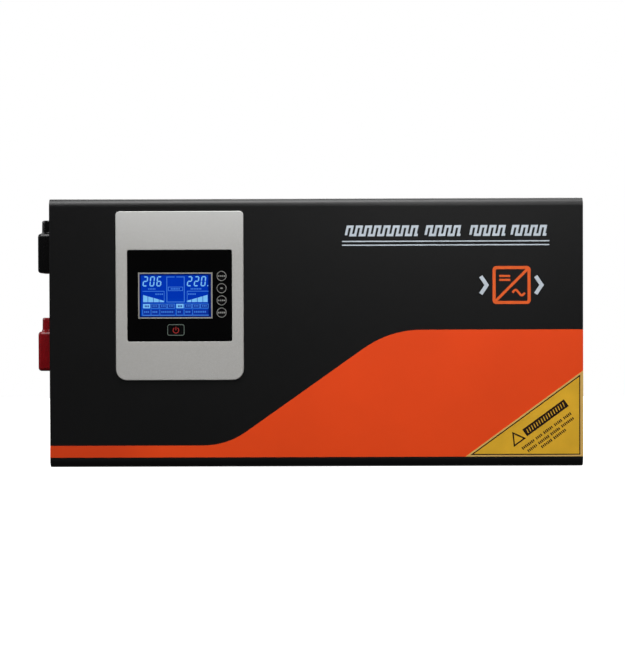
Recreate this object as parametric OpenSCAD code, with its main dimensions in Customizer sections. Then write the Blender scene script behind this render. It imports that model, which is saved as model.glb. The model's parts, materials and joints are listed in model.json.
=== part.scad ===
// Wall-hung pure sine power inverter: steel case, display panel, fans, battery and AC terminals.
// +X is to the right of the display face, +Y runs from that face to the wall, +Z is up.
// The origin is the centre of the case's flat underside.

/* [Case] */
// Width of the sheet-metal case, without ears or terminals
case_w = 436; // [430:1:450]
// Height of the case
case_h = 219.7; // [214:0.1:224]
// Depth of the case, from the painted face to the wall
case_d = 179; // [175:1:185]
// Thickness of the cover and end panels
sheet_t = 1.5; // [1.2:0.1:1.8]
// Outer radius of the cover's two long bends
bend_r = 6.5; // [3:0.5:7]
// Thickness of the rear plate
rear_t = 2; // [1.5:0.5:3]
// How far the rear plate's mounting ears stand out at each end
ear_w = 14; // [12:1:18]
// Wall-screw holes: radius, and spacing across and up
wall_hole_r = 3.25; // [2.75:0.25:4]
wall_hole_dx = 450; // [446:1:456]
wall_hole_dz = 160; // [120:5:180]

/* [Painted face] */
// Height of the orange band's lower edge, the band's top and the raised area's top
band_z = 8.1; // [6:0.1:9]
band_top = 17.8; // [14:0.1:20]
field_top = 111.9; // [105:0.1:118]
// Place where the slope meets the band, and the slope's angle
slope_foot_x = -73.2; // [-90:0.1:-50]
slope_angle = 35.2; // [30:0.1:40]
// Radii of the curve at the slope's foot and head
foot_r = 60; // [40:1:80]
head_r = 82; // [60:1:90]
// Corner label: width along the bottom and height up the side
label_w = 96.2; // [80:0.1:110]
label_h = 70.2; // [60:0.1:80]

/* [Display panel] */
// Centre of the display panel on the front face
panel_x = -111.3; // [-116:0.1:-108]
panel_z = 140.3; // [136:0.1:142]
// Bezel size, thickness and corner radii
bezel_w = 104.4; // [100:0.1:108]
bezel_h = 138; // [134:0.1:140]
bezel_t = 2.5; // [2:0.1:4]
bezel_r_top = 3.3; // [2:0.1:6]
bezel_r_bottom = 9; // [6:0.5:12]
// Lens (black front pane) size and thickness
lens_w = 85.4; // [84:0.1:88]
lens_h = 74.6; // [72:0.1:77]
lens_t = 2; // [1.5:0.1:2]
// LCD frame size, and its offset from the panel's centre
lcd_w = 60.6; // [58:0.1:62]
lcd_h = 37.5; // [36:0.1:40]
lcd_dx = -3.5; // [-4:0.1:-2]
lcd_dz = 0.2; // [0:0.1:0.5]
// Round keys: diameter, pitch, and offset of their column from the panel's centre
key_d = 8.1; // [7.6:0.1:8.4]
key_pitch = 9.95; // [9.9:0.05:10.5]
key_dx = 34.3; // [34:0.1:35]
key_dz = 1.1; // [0:0.1:2]
// Power key: width, height and offset from the panel's centre
power_key_w = 14.2; // [14:0.1:15]
power_key_h = 9.4; // [9.4:0.1:10.2]
power_key_dx = -3.1; // [-4:0.1:-2]
power_key_dz = -27.9; // [-28.5:0.1:-27.5]
// Travel of all five keys
key_travel = 0.5; // [0.3:0.1:0.5]

/* [Battery end] */
// Depth of the terminals behind the painted face, and their heights
terminal_depth = 55; // [50:1:60]
negative_z = 176.5; // [172:0.1:178]
positive_z = 94.4; // [88:0.1:96]
// Square boot: half its width, its height and wall, and its cable sleeve's radius and length
boot_half = 16.6; // [15:0.1:17]
boot_h = 15.9; // [15:0.1:18]
boot_wall = 1.6; // [1.4:0.1:2]
sleeve_r = 6.2; // [5.8:0.1:6.4]
sleeve_len = 11.5; // [10:0.5:14]
// Radius of the battery stud (M8)
stud_r = 3.95; // [3.95:0.01:4]
// Fan size, thickness, mounting hole pitch, and centres on the end panel
fan_size = 80; // [80:1:80]
fan_t = 25; // [25:1:25]
fan_pitch = 71.5; // [71.5:0.5:71.5]
fan_y = 38; // [36:1:42]
fan_z_low = 60; // [56:1:62]
fan_z_high = 158; // [154:1:160]

/* [AC end] */
// Terminal block: centre, length up the panel, and number of poles
block_y = 35; // [30:1:38]
block_len = 84; // [80:1:90]
poles = 6; // [4:1:6]
// Opening angle of the block's flap is set by its hinge line, at this distance from the block's centre
hinge_dy = 19.9; // [19.5:0.1:21]
// Column of controls: distance behind the painted face, and heights
controls_depth = 55; // [50:1:60]
breaker_z = 60; // [56:1:64]
selector_z = 84; // [82:1:88]
port_z = 30; // [26:1:34]

/* [Inside] */
// Toroidal transformer: outer and inner radius, thickness and centre
toroid_r = 84; // [78:1:84]
toroid_hole_r = 27; // [24:1:32]
toroid_t = 72; // [64:1:72]
toroid_x = 105; // [103:1:107]
// Heat sink: length along the case, height, depth and fin count
sink_len = 150; // [130:5:150]
sink_h = 80; // [70:1:80]
sink_d = 66; // [50:1:66]
sink_fins = 9; // [7:1:11]

/* [Hidden] */
$fn = 64;

// Planes of the case
front_y = -case_d / 2;
rear_y = case_d / 2;
plate_y = rear_y - rear_t;          // front face of the rear plate
panel_out_x = case_w / 2 - 0.5;     // outer face of each end panel, just inside the cover's edge
panel_in_x = panel_out_x - sheet_t;
mid_z = case_h / 2;
touch = 0.1;                        // gap between nested sheet-metal faces
slip = 0.05;                        // radial gap of a screw, pin or shaft in its hole
past = 1;                           // how far a cutter runs past the face that it opens

// Display stack, from the front to the back
bezel_face_y = front_y - bezel_t;
lens_face_y = front_y - lens_t;
cover_back_y = front_y + sheet_t;
backlight_y = front_y + 2;
display_board_y = front_y + 7;
board_t = 1.6;
key_gap = 0.3;
key_face_y = lens_face_y - 0.5;
lcd_x = panel_x + lcd_dx;
lcd_z = panel_z + lcd_dz;
lcd_rim = 1;
power_key_x = panel_x + power_key_dx;
window_x = [panel_x - 36.5, panel_x + 39.5];
window_z = [panel_z - 35, panel_z + 24];
BEZEL_BOSSES = [for (x = [-46, 46], z = [-58, 58]) [panel_x + x, panel_z + z]];
BOARD_POSTS = [for (x = [-42, 42], z = [-38, 30]) [panel_x + x, panel_z + z]];
KEY_Z = [for (i = [0:3]) panel_z + key_dz + (1.5 - i) * key_pitch];

// Terminals, fans and controls
terminal_y = front_y + terminal_depth;
controls_y = front_y + controls_depth;
FANS = [fan_z_high, fan_z_low];
TERMINALS = [negative_z, positive_z];
fan_bore_r = 38;
wire_r = 0.9;

// Boards and heat sinks behind the fans
power_board_y = -16;
power_board_x = [-190, -5];
power_board_z = [14, 204];
sink_x = -180;
bracket_y = -20;
bracket_x = [15, 200];
bracket_z = [14, 208];
control_board_x = [25, 190];
control_board_z = [122, 204];
control_board_y = -30;

// AC terminal block
block_z0 = mid_z - block_len / 2;
rib_t = 2;
bay = (block_len - (poles + 1) * rib_t) / poles;
block_half_y = 14;
block_top_x = panel_out_x + 11.5;
hinge_x = panel_out_x + 8.5;
hinge_y = block_y + hinge_dy;
floor_t = 5.5;                      // height of the block's floor, on which the terminal screws sit
ear_z = 6.5;                        // how far the block's base runs past its ribs at each end

// ---- Shared shapes ----

// A box between two opposite corners
module block(a, b) {
    translate(a) cube(b - a);
}

// A round bar along X, Y or Z, between two places on that axis
module bar_x(x0, x1, r, y, z) {
    translate([x0, y, z]) rotate([0, 90, 0]) cylinder(h = x1 - x0, r = r);
}
module bar_y(y0, y1, r, x, z) {
    translate([x, y1, z]) rotate([90, 0, 0]) cylinder(h = y1 - y0, r = r);
}
module bar_z(z0, z1, r, x, y) {
    translate([x, y, z0]) cylinder(h = z1 - z0, r = r);
}

// A flat shape drawn in X and Z, given depth from y0 to y1
module slab_y(y0, y1) {
    translate([0, y1, 0]) rotate([90, 0, 0]) linear_extrude(y1 - y0) children();
}

// A flat shape drawn in Y and Z, given depth from x0 to x1
module slab_x(x0, x1) {
    translate([x0, 0, 0]) rotate([90, 0, 90]) linear_extrude(x1 - x0) children();
}

// A rectangle centred on the origin, with its own radius at the top and bottom corners
module rounded(w, h, r_top, r_bottom) {
    x = w / 2;
    z = h / 2;
    polygon([
        [-x, -z + r_bottom], [-x + r_bottom, -z], [x - r_bottom, -z], [x, -z + r_bottom],
        [x, z - r_top], [x - r_top, z], [-x + r_top, z], [-x, z - r_top],
    ]);
    for (s = [-1, 1]) {
        translate([s * (x - r_top), z - r_top]) circle(r_top);
        translate([s * (x - r_bottom), -z + r_bottom]) circle(r_bottom);
    }
}

// A ring lying in XY
module ring(r, wire) {
    rotate_extrude() translate([r, 0]) circle(wire, $fn = 24);
}

// Cutters through the end panels and the front of the cover
module through_dc(r, y, z) {
    bar_x(-panel_out_x - past, -panel_in_x + past, r, y, z);
}
module through_ac(r, y, z) {
    bar_x(panel_in_x - past, panel_out_x + past, r, y, z);
}
module ac_window(y0, y1, z0, z1) {
    block([panel_in_x - past, y0, z0], [panel_out_x + past, y1, z1]);
}

// A ring with a bore, and a hexagon nut by its width across flats, both along Z
module washer(r, h, bore) {
    difference() {
        cylinder(h = h, r = r);
        translate([0, 0, -past]) cylinder(h = h + 2 * past, r = bore);
    }
}
module nut(flats, h, bore) {
    difference() {
        cylinder(h = h, r = flats / 2 / cos(30), $fn = 6);
        translate([0, 0, -past]) cylinder(h = h + 2 * past, r = bore);
    }
}

// ---- Case ----

// Side view of the space inside the cover, shrunk by a gap
module case_outline(inset, y_end) {
    r = max(bend_r - inset, 0.5);
    y0 = front_y + inset;
    translate([y0, inset + r]) square([y_end - y0, case_h - 2 * (inset + r)]);
    translate([y0 + r, inset]) square([y_end - y0 - r, case_h - 2 * inset]);
    for (z = [inset + r, case_h - inset - r]) translate([y0 + r, z]) circle(r);
}

COVER_SCREWS = [
    for (x = [-160, 0, 160]) [x, plate_y - 8],
    for (x = [-panel_in_x + 6, panel_in_x - 6]) [x, front_y + 30],
];
screw_r = 2;
screw_head_r = 4;
screw_head_h = 2;

// One flush screw, pointing up from the underside, made larger by a gap
module flush_screw(gap, len) {
    cylinder(h = screw_head_h + gap, r1 = screw_head_r + gap, r2 = screw_r + gap);
    cylinder(h = len, r = screw_r + gap);
}

module each_cover_screw() {
    for (p = COVER_SCREWS) {
        translate([p.x, p.y, 0]) children();
        translate([p.x, p.y, case_h]) rotate([180, 0, 0]) children();
    }
}

module front_cover() {
    color("#1b1b1c") difference() {
        slab_x(-case_w / 2, case_w / 2) difference() {
            case_outline(0, plate_y);
            case_outline(sheet_t, plate_y + past);
        }
        block(
            [window_x[0], front_y - past, window_z[0]],
            [window_x[1], cover_back_y + past, window_z[1]]
        );
        for (p = BEZEL_BOSSES) bar_y(front_y - past, cover_back_y + past, 3 + slip, p.x, p.y);
        each_cover_screw() flush_screw(slip, 12);
    }
}

// The rear plate, with ears for the wall screws and folded lips for the cover's screws
module rear_plate() {
    lip_x = panel_in_x - 13;
    lip_len = 14;
    color("#222324") difference() {
        union() {
            slab_y(plate_y, rear_y)
                translate([0, mid_z]) rounded(case_w + 2 * ear_w, case_h - 4, 5, 5);
            for (z = [sheet_t + touch, case_h - sheet_t * 2 - touch])
                block([-lip_x, plate_y - lip_len, z], [lip_x, plate_y + 0.5, z + sheet_t]);
        }
        for (x = [-wall_hole_dx / 2, wall_hole_dx / 2], dz = [-wall_hole_dz / 2, wall_hole_dz / 2])
            bar_y(plate_y - past, rear_y + past, wall_hole_r, x, mid_z + dz);
        each_cover_screw() flush_screw(slip, 12);
    }
}

// An end panel as a shallow tray, on the right unless mirrored
module end_tray() {
    flange = 12;
    edge_y = plate_y - touch;
    inset = sheet_t + touch;
    difference() {
        slab_x(panel_out_x - flange, panel_out_x) case_outline(inset, edge_y);
        slab_x(panel_out_x - flange - past, panel_in_x) case_outline(inset + sheet_t, edge_y - sheet_t);
    }
}

module dc_end_panel() {
    color("#1f2021") difference() {
        mirror([1, 0, 0]) end_tray();
        for (z = FANS) {
            through_dc(fan_bore_r, fan_y, z);
            for (dy = [-fan_pitch / 2, fan_pitch / 2], dz = [-fan_pitch / 2, fan_pitch / 2])
                through_dc(screw_r + 0.2, fan_y + dy, z + dz);
        }
        for (z = TERMINALS) through_dc(bushing_through_r + touch, terminal_y, z);
        through_dc(ground_r + slip, terminal_y, ground_z);
        each_cover_screw() flush_screw(slip, 12);
    }
}

slot_t = 3;
slot_w = 32;
slot_rows = 14;
slot_pitch = 7;
slot_z0 = 104;
SLOT_Y = [front_y + 30, front_y + 70];

// A rounded slot through the AC end panel
module air_slot(y, z) {
    ac_window(y - slot_w / 2, y + slot_w / 2, z - slot_t / 2, z + slot_t / 2);
    for (dy = [-slot_w / 2, slot_w / 2]) through_ac(slot_t / 2, y + dy, z);
}

module ac_end_panel() {
    color("#1f2021") difference() {
        end_tray();
        for (y = SLOT_Y, i = [0:slot_rows - 1]) air_slot(y, slot_z0 + i * slot_pitch);
        ac_window(block_y - 7, block_y + 7, block_z0 + 3, block_z0 + block_len - 3);
        for (z = BLOCK_SCREW_Z) through_ac(screw_r + slip, block_y, z);
        through_ac(bushing_r + slip, controls_y, breaker_z);
        through_ac(selector_r + 0.3, controls_y, selector_z);
        for (y = PORT_Y)
            ac_window(
                y - port_w / 2 - touch, y + port_w / 2 + touch,
                port_z - port_h / 2 - touch, port_z + port_h / 2 + touch
            );
        each_cover_screw() flush_screw(slip, 12);
    }
}

module cover_screws() {
    color("#2a2a2b") each_cover_screw() difference() {
        flush_screw(0, 9);
        cross_recess(0, 1.4, 0.9);
    }
}

// The cross cut in a screw head, from a plane up to a depth
module cross_recess(z, half, depth) {
    for (a = [0, 90]) rotate(a) translate([-half, -0.4, z - past]) cube([2 * half, 0.8, depth + past]);
}

// ---- Painted face ----

film_t = 0.2;

// Outline of the orange field: a low band, a slope with a curve at each end, and a raised area
module field_outline() {
    edge = case_w / 2;
    foot = [slope_foot_x, band_top];
    head = [slope_foot_x + (field_top - band_top) / tan(slope_angle), field_top];
    along = [cos(slope_angle), sin(slope_angle)];
    foot_t = foot_r * tan(slope_angle / 2);
    head_t = head_r * tan(slope_angle / 2);
    difference() {
        polygon([[-edge, band_z], [edge, band_z], [edge, field_top], head, foot, [-edge, band_top]]);
        difference() {
            polygon([head + [head_t, 0], head, head - head_t * along]);
            translate(head + [head_t, -head_r]) circle(head_r);
        }
    }
    difference() {
        polygon([foot - [foot_t, 0], foot, foot + foot_t * along]);
        translate(foot + [-foot_t, foot_r]) circle(foot_r);
    }
}

module orange_decal() {
    color("#d2451c") slab_y(front_y - film_t, front_y) field_outline();
}

module warning_label() {
    edge = case_w / 2;
    color("#c9a02e") slab_y(front_y - 2 * film_t, front_y - film_t)
        polygon([[edge - label_w, band_z], [edge, band_z], [edge, band_z + label_h]]);
}

// ---- Display panel ----

module display_bezel() {
    color("#aeadab") difference() {
        union() {
            slab_y(bezel_face_y, front_y) translate([panel_x, panel_z]) difference() {
                rounded(bezel_w, bezel_h, bezel_r_top, bezel_r_bottom);
                rounded(lens_w + 2 * touch, lens_h + 2 * touch, 2, 2);
            }
            for (p = BEZEL_BOSSES) bar_y(front_y - 1, cover_back_y, 3, p.x, p.y);
        }
        for (p = BEZEL_BOSSES) bar_y(front_y - 1.5, cover_back_y + past, 1.5, p.x, p.y);
    }
}

module bezel_screws() {
    color("silver") for (p = BEZEL_BOSSES) {
        bar_y(cover_back_y, cover_back_y + 2, 4, p.x, p.y);
        bar_y(cover_back_y - 2.8, cover_back_y + past, 1.5 - slip, p.x, p.y);
    }
}

module display_lens() {
    color("#060606") slab_y(lens_face_y, front_y) difference() {
        translate([panel_x, panel_z]) rounded(lens_w, lens_h, 2, 2);
        translate([lcd_x, lcd_z]) square([lcd_w + 2 * touch, lcd_h + 2 * touch], center = true);
        for (z = KEY_Z) translate([panel_x + key_dx, z]) circle(key_d / 2 + key_gap);
        translate([power_key_x, panel_z + power_key_dz])
            rounded(power_key_w + 2 * key_gap, power_key_h + 2 * key_gap, 2.3, 2.3);
    }
}

module lcd_frame() {
    color("#9a9c98") slab_y(lens_face_y - 0.2, backlight_y) translate([lcd_x, lcd_z]) difference() {
        square([lcd_w, lcd_h], center = true);
        square([lcd_w - 2 * lcd_rim, lcd_h - 2 * lcd_rim], center = true);
    }
}

module lcd_glass() {
    color("#0a3fc0") slab_y(lens_face_y + 0.3, backlight_y) translate([lcd_x, lcd_z])
        square([lcd_w - 2 * lcd_rim - touch, lcd_h - 2 * lcd_rim - touch], center = true);
}

module lcd_backlight() {
    color("#e8ecf0") slab_y(backlight_y, display_board_y) translate([lcd_x, lcd_z])
        square([lcd_w + 4, lcd_h + 5], center = true);
}

module display_board() {
    color("#1c5a34") difference() {
        slab_y(display_board_y, display_board_y + board_t)
            translate([panel_x, panel_z - 4]) square([92, 76], center = true);
        for (p = BOARD_POSTS)
            bar_y(display_board_y - past, display_board_y + board_t + past, 1.6, p.x, p.y);
    }
}

// The push switches behind the five keys
module tact_switches() {
    color("#3b3b3d") {
        for (z = KEY_Z) tact_switch(panel_x + key_dx, z);
        tact_switch(power_key_x, panel_z + power_key_dz);
    }
}

module tact_switch(x, z) {
    slab_y(display_board_y - 3.4, display_board_y) translate([x, z]) square(6, center = true);
    bar_y(display_board_y - 4.5, display_board_y - 3, 1.7, x, z);
}

// A key: its cap stands in the lens, a collar holds it behind the lens, and a stem meets its switch
module key_body(x, z, collar) {
    stem_y = display_board_y - 4.5 - key_travel - touch;
    slab_y(key_face_y, front_y + 1.2) translate([x, z]) children();
    slab_y(front_y + 0.3, front_y + 1.2) translate([x, z]) square(collar, center = true);
    bar_y(front_y + 1, stem_y, 1.5, x, z);
}

module round_key(i) {
    color("#0b0b0b") key_body(panel_x + key_dx, KEY_Z[i], [9.4, key_d]) circle(key_d / 2);
}

module menu_key() { round_key(0); }
module up_key() { round_key(1); }
module down_key() { round_key(2); }
module enter_key() { round_key(3); }

module power_key() {
    color("#0b0b0b") key_body(power_key_x, panel_z + power_key_dz, [power_key_w + 2, power_key_h - 2])
        rounded(power_key_w, power_key_h, 2, 2);
}

// ---- Fans ----

// Puts a shape drawn along Z on a fan's axis, with Z = 0 on the end panel's inner face
module at_fan(z) {
    translate([-panel_in_x, fan_y, z]) rotate([0, 90, 0]) children();
}

module at_fan_corners() {
    for (a = [45:90:315]) rotate(a) translate([fan_pitch / sqrt(2), 0, 0]) children();
}

hub_r = 16;
bearing_r = 4;
strut_t = 3;

module fan_frame(z) {
    color("#141414") at_fan(z) {
        difference() {
            linear_extrude(fan_t) rounded(fan_size, fan_size, 4, 4);
            translate([0, 0, -past]) cylinder(h = fan_t + 2 * past, r = fan_bore_r);
            at_fan_corners() translate([0, 0, -past]) cylinder(h = fan_t + 2 * past, r = screw_r + 0.15);
        }
        translate([0, 0, fan_t - strut_t]) {
            cylinder(h = strut_t, r = hub_r + 1);
            for (a = [0:90:270]) rotate(a) translate([0, -1.5, 0]) cube([fan_bore_r + 1, 3, strut_t]);
        }
        translate([0, 0, 6]) cylinder(h = fan_t - 6, r = bearing_r);
    }
}

module fan_frame_upper() { fan_frame(FANS[0]); }
module fan_frame_lower() { fan_frame(FANS[1]); }

blades = 7;

// A hub with pitched blades, trimmed to a cylinder that turns inside the frame
module fan_rotor(z) {
    color("#101010") at_fan(z) difference() {
        union() {
            translate([0, 0, 3]) cylinder(h = 18, r = hub_r);
            intersection() {
                translate([0, 0, 4]) cylinder(h = 16, r = fan_bore_r - 1);
                for (i = [0:blades - 1])
                    rotate(i * 360 / blades) translate([hub_r - 1.5, 0, 12]) rotate([42, 0, 0])
                        translate([0, -11, -0.8]) cube([fan_bore_r, 22, 1.6]);
            }
        }
        translate([0, 0, 5]) cylinder(h = 18, r = bearing_r + slip);
    }
}

module fan_rotor_upper() { fan_rotor(FANS[0]); }
module fan_rotor_lower() { fan_rotor(FANS[1]); }

// A welded wire guard: four legs lie on the panel, and the rings lie on the legs
module fan_guard(z) {
    leg_z = -sheet_t - wire_r;
    ring_z = leg_z - 1.5;
    reach = fan_pitch / sqrt(2);
    color("#8e9094") at_fan(z) {
        for (r = [8:7:43]) translate([0, 0, ring_z]) ring(r, wire_r);
        for (a = [45:90:315]) rotate(a) {
            translate([7, 0, leg_z]) rotate([0, 90, 0]) cylinder(h = reach - 7 - 3.3, r = wire_r);
            translate([reach, 0, leg_z]) ring(3.3, wire_r);
        }
    }
}

module fan_guard_upper() { fan_guard(FANS[0]); }
module fan_guard_lower() { fan_guard(FANS[1]); }

module fan_screws() {
    head_z = -sheet_t - 2 * wire_r;
    color("#9a9c9e") for (z = FANS) at_fan(z) at_fan_corners() difference() {
        translate([0, 0, head_z - 2.2]) union() {
            cylinder(h = 2.2, r = 4);
            cylinder(h = 2.2 + 2 * wire_r + sheet_t + 10, r = screw_r);
        }
        cross_recess(head_z - 2.2, 1.5, 1.2);
    }
}

// ---- Battery terminals ----

boot_gap = 0.3;                     // between a boot and the panel or base that it covers
boot_edge = 2.6;                     // radius of a boot's outer edges
pocket_r = 2;                       // corner radius of a boot's pocket and of the base inside it
neck = 8.3;                         // distance of the cable's axis from the panel
bushing_through_r = 8;
ground_z = 34;
ground_r = 3;
washer_t = 1.6;
stud_nut = 6;

// Puts a shape drawn along Z on a terminal's axis, pointing out of the panel with +X drawn upwards
module at_terminal(z) {
    translate([-panel_out_x, terminal_y, z]) rotate([0, -90, 0]) children();
}

// A square with round corners, by half its width
module boot_square(half, r) {
    rounded(2 * half, 2 * half, r, r);
}

// The insulator: a bushing through the panel with a square flange, and a washer behind it
module terminal_base(z, paint) {
    color(paint) at_terminal(z) difference() {
        union() {
            linear_extrude(3) boot_square(boot_half - boot_wall - boot_gap, pocket_r);
            translate([0, 0, -sheet_t]) cylinder(h = sheet_t + past, r = bushing_through_r);
            translate([0, 0, -sheet_t - 3.1]) cylinder(h = 3, r = 12);
        }
        translate([0, 0, -6]) cylinder(h = 12, r = stud_r + slip);
    }
}

module terminal_base_negative() { terminal_base(negative_z, "#1a1a1a"); }
module terminal_base_positive() { terminal_base(positive_z, "#7a1016"); }

module terminal_studs() {
    color("#b98a4a") for (z = TERMINALS) at_terminal(z) {
        translate([0, 0, -21]) cylinder(h = 33.2, r = stud_r);
        translate([0, 0, 12.2]) cylinder(h = 0.8, r1 = stud_r, r2 = stud_r - 0.8);
    }
}

// Outer washer and nut, and the two inner nuts that clamp the busbar
module terminal_nuts() {
    bore = stud_r + slip;
    inner = -sheet_t - 3.1;
    color("#c9ccd0") for (z = TERMINALS) at_terminal(z) {
        translate([0, 0, 3]) washer(8.5, washer_t, bore);
        translate([0, 0, 3 + washer_t + 0.02]) nut(13, stud_nut, bore);
        translate([0, 0, inner - stud_nut]) nut(13, stud_nut, bore);
        translate([0, 0, inner - 2 * stud_nut - busbar_t]) nut(13, stud_nut, bore);
    }
}

// A boot's outline from the side: its height, with round corners at the top
module boot_side() {
    translate([0, (boot_h + boot_gap) / 2])
        rounded(2 * boot_half, boot_h - boot_gap, boot_edge, boot_gap);
}

// Soft boot: a square cap over the stud, with a sleeve for the cable at its upper side
module terminal_boot(z, paint) {
    color(paint) at_terminal(z) difference() {
        union() {
            intersection() {
                linear_extrude(boot_h + past) boot_square(boot_half, boot_edge);
                slab_y(-boot_half, boot_half) boot_side();
                slab_x(-boot_half, boot_half) boot_side();
            }
            translate([boot_half - boot_wall, 0, neck]) rotate([0, 90, 0])
                cylinder(h = sleeve_len + boot_wall, r = sleeve_r);
        }
        translate([0, 0, -past]) linear_extrude(boot_h - boot_wall + past)
            boot_square(boot_half - boot_wall, pocket_r);
        translate([5, 0, neck]) rotate([0, 90, 0])
            cylinder(h = boot_half + sleeve_len, r = sleeve_r - boot_wall);
    }
}

module terminal_boot_negative() { terminal_boot(negative_z, "#0d0d0d"); }
module terminal_boot_positive() { terminal_boot(positive_z, "#7d0a12"); }

module ground_terminal() {
    color("#b98a4a") at_terminal(ground_z) {
        translate([0, 0, -9]) cylinder(h = 16.2, r = ground_r);
        translate([0, 0, 0.02]) washer(6.5, washer_t, ground_r - touch);
        translate([0, 0, washer_t]) nut(10, 5, ground_r - touch);
        translate([0, 0, -sheet_t - 5.1]) nut(10, 5, ground_r - touch);
    }
}

busbar_t = 3;
busbar_w = 20;

// An angled copper bar from a stud to the power board
module busbar(z) {
    plate_x = -panel_out_x + sheet_t + 3.1 + stud_nut;
    z0 = z - busbar_w / 2;
    z1 = z + busbar_w / 2;
    color("#b8734a") difference() {
        union() {
            block([plate_x, terminal_y - 11.5, z0], [plate_x + busbar_t, power_board_y, z1]);
            block([plate_x, power_board_y - busbar_t, z0], [-150, power_board_y, z1]);
        }
        bar_x(plate_x - past, plate_x + busbar_t + past, stud_r + slip, terminal_y, z);
    }
}

module busbar_negative() { busbar(negative_z); }
module busbar_positive() { busbar(positive_z); }

// ---- Power stage ----

module power_board() {
    color("#1f6a3c") block(
        [power_board_x[0], power_board_y, power_board_z[0]],
        [power_board_x[1], power_board_y + board_t, power_board_z[1]]
    );
}

module dc_capacitors() {
    color("#20252b") for (i = [0:5]) bar_y(power_board_y - 45, power_board_y, 12.5, -172 + i * 30, 40);
}

module relays() {
    color("#1a1a1c") for (z = [68:26:146])
        block([-60, power_board_y - 22, z], [-30, power_board_y, z + 18]);
}

sink_fin_t = 2;
sink_foot_t = 8;
sink_base_t = 6;

// An extruded heat sink whose outer fins are thick enough to bolt to
module heatsink(z) {
    z0 = z - sink_h / 2;
    pitch = (sink_h - sink_foot_t) / (sink_fins - 1);
    color("#c3c6c8") {
        block([sink_x, 0, z0], [sink_x + sink_len, sink_base_t, z0 + sink_h]);
        for (i = [0:sink_fins - 1]) {
            t = i == 0 || i == sink_fins - 1 ? sink_foot_t : sink_fin_t;
            zc = z0 + sink_foot_t / 2 + i * pitch;
            block([sink_x, sink_base_t - 1, zc - t / 2], [sink_x + sink_len, sink_d, zc + t / 2]);
        }
    }
}

module heatsink_upper() { heatsink(FANS[0]); }
module heatsink_lower() { heatsink(FANS[1]); }

// Power transistors on the heat sinks, with their legs in the power board
module mosfets() {
    color("#161618") for (z = FANS, i = [0:7]) {
        x = sink_x + 12 + i * 18;
        block([x - 8, -5, z - 10], [x + 8, 0, z + 10]);
        for (s = [-1, 0, 1])
            block([x + s * 5 - 0.6, power_board_y + board_t, z - 9], [x + s * 5 + 0.6, -4.5, z - 8.4]);
    }
}

// Posts that carry the heat sinks, the power board, the display board and the control board
module mounting_posts() {
    color("#c8b06a") {
        for (z = FANS, sx = [10, sink_len - 10]) {
            for (sz = [-1, 1]) {
                bar_y(sink_d, plate_y, 4, sink_x + sx, z + sz * (sink_h - sink_foot_t) / 2);
                bar_y(power_board_y + board_t, 0, 3, sink_x + sx, z + sz * 30);
            }
        }
        for (p = BOARD_POSTS) bar_y(cover_back_y, display_board_y, 3, p.x, p.y);
        for (x = [control_board_x[0] + 6, control_board_x[1] - 6], z = control_board_z + [6, -6])
            bar_y(control_board_y + board_t, bracket_y, 3, x, z);
    }
}

// ---- Transformer ----

toroid_y = plate_y - 1 - toroid_t;

module toroidal_transformer() {
    round = 12;
    depth = toroid_r - toroid_hole_r;
    color("#a8682c") translate([toroid_x, toroid_y + toroid_t, mid_z]) rotate([90, 0, 0])
        rotate_extrude() translate([toroid_hole_r + depth / 2, toroid_t / 2])
            rounded(depth, toroid_t, round, round);
}

module transformer_clamp() {
    color("#8f9396") {
        bar_y(toroid_y - 14, plate_y, 5, toroid_x, mid_z);
        difference() {
            bar_y(toroid_y - 3, toroid_y - 1, 50, toroid_x, mid_z);
            bar_y(toroid_y - 4, toroid_y, 5, toroid_x, mid_z);
        }
        translate([toroid_x, toroid_y - 3.02, mid_z]) rotate([90, 0, 0]) nut(17, 8, 5);
    }
}

module transformer_pads() {
    color("#2b2b2b") for (y = [toroid_y - 1, toroid_y + toroid_t]) difference() {
        bar_y(y, y + 1, 60, toroid_x, mid_z);
        bar_y(y - past, y + 1 + past, 5 + slip, toroid_x, mid_z);
    }
}

// Winding leads: each leaves the winding's side and bends down to the back of the power board
module transformer_leads() {
    lead_r = 3;
    lead_x = -16;
    lead_y = 30;
    elbow = 10;
    color("#b33a2a") for (dz = [-36:24:36]) {
        z = mid_z + dz;
        winding_x = toroid_x - sqrt(toroid_r * toroid_r - dz * dz);
        bar_y(power_board_y + board_t, lead_y - elbow, lead_r, lead_x, z);
        translate([lead_x + elbow, lead_y - elbow, z])
            rotate_extrude(angle = 90, start = 90) translate([elbow, 0]) circle(lead_r);
        bar_x(lead_x + elbow, winding_x + 2, lead_r, lead_y, z);
    }
}

// ---- Control side ----

module control_bracket() {
    color("#a9acae") {
        block(
            [bracket_x[0], bracket_y, bracket_z[0]],
            [bracket_x[1], bracket_y + sheet_t, bracket_z[1]]
        );
        for (x = [bracket_x[0] + 5, bracket_x[1] - 10], z = [bracket_z[0] + 6, bracket_z[1] - 6])
            bar_y(bracket_y + past, plate_y, 4, x, z);
    }
}

module control_board() {
    color("#1f6a3c") block(
        [control_board_x[0], control_board_y, control_board_z[0]],
        [control_board_x[1], control_board_y + board_t, control_board_z[1]]
    );
}

// Output filter: a film capacitor and a ring choke on the bracket
module filter_parts() {
    color("#3f4a86") bar_z(28, 92, 21, 62, bracket_y - 21.2);
    color("#a8682c") translate([132, bracket_y, 62]) rotate([90, 0, 0])
        rotate_extrude() translate([22, 14]) rounded(20, 28, 5, 5);
}

// Flat cable from the display board to the control board
module ribbon_cable() {
    y0 = display_board_y + board_t;
    turn_y = y0 + 6;
    color("#b9bcbf") translate([0, 0, 136]) linear_extrude(20) polygon([
        [-80, y0], [-79, y0], [-79, turn_y], [34, turn_y], [34, control_board_y],
        [33, control_board_y], [33, turn_y + 1], [-80, turn_y + 1],
    ]);
}

// ---- AC terminals ----

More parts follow.
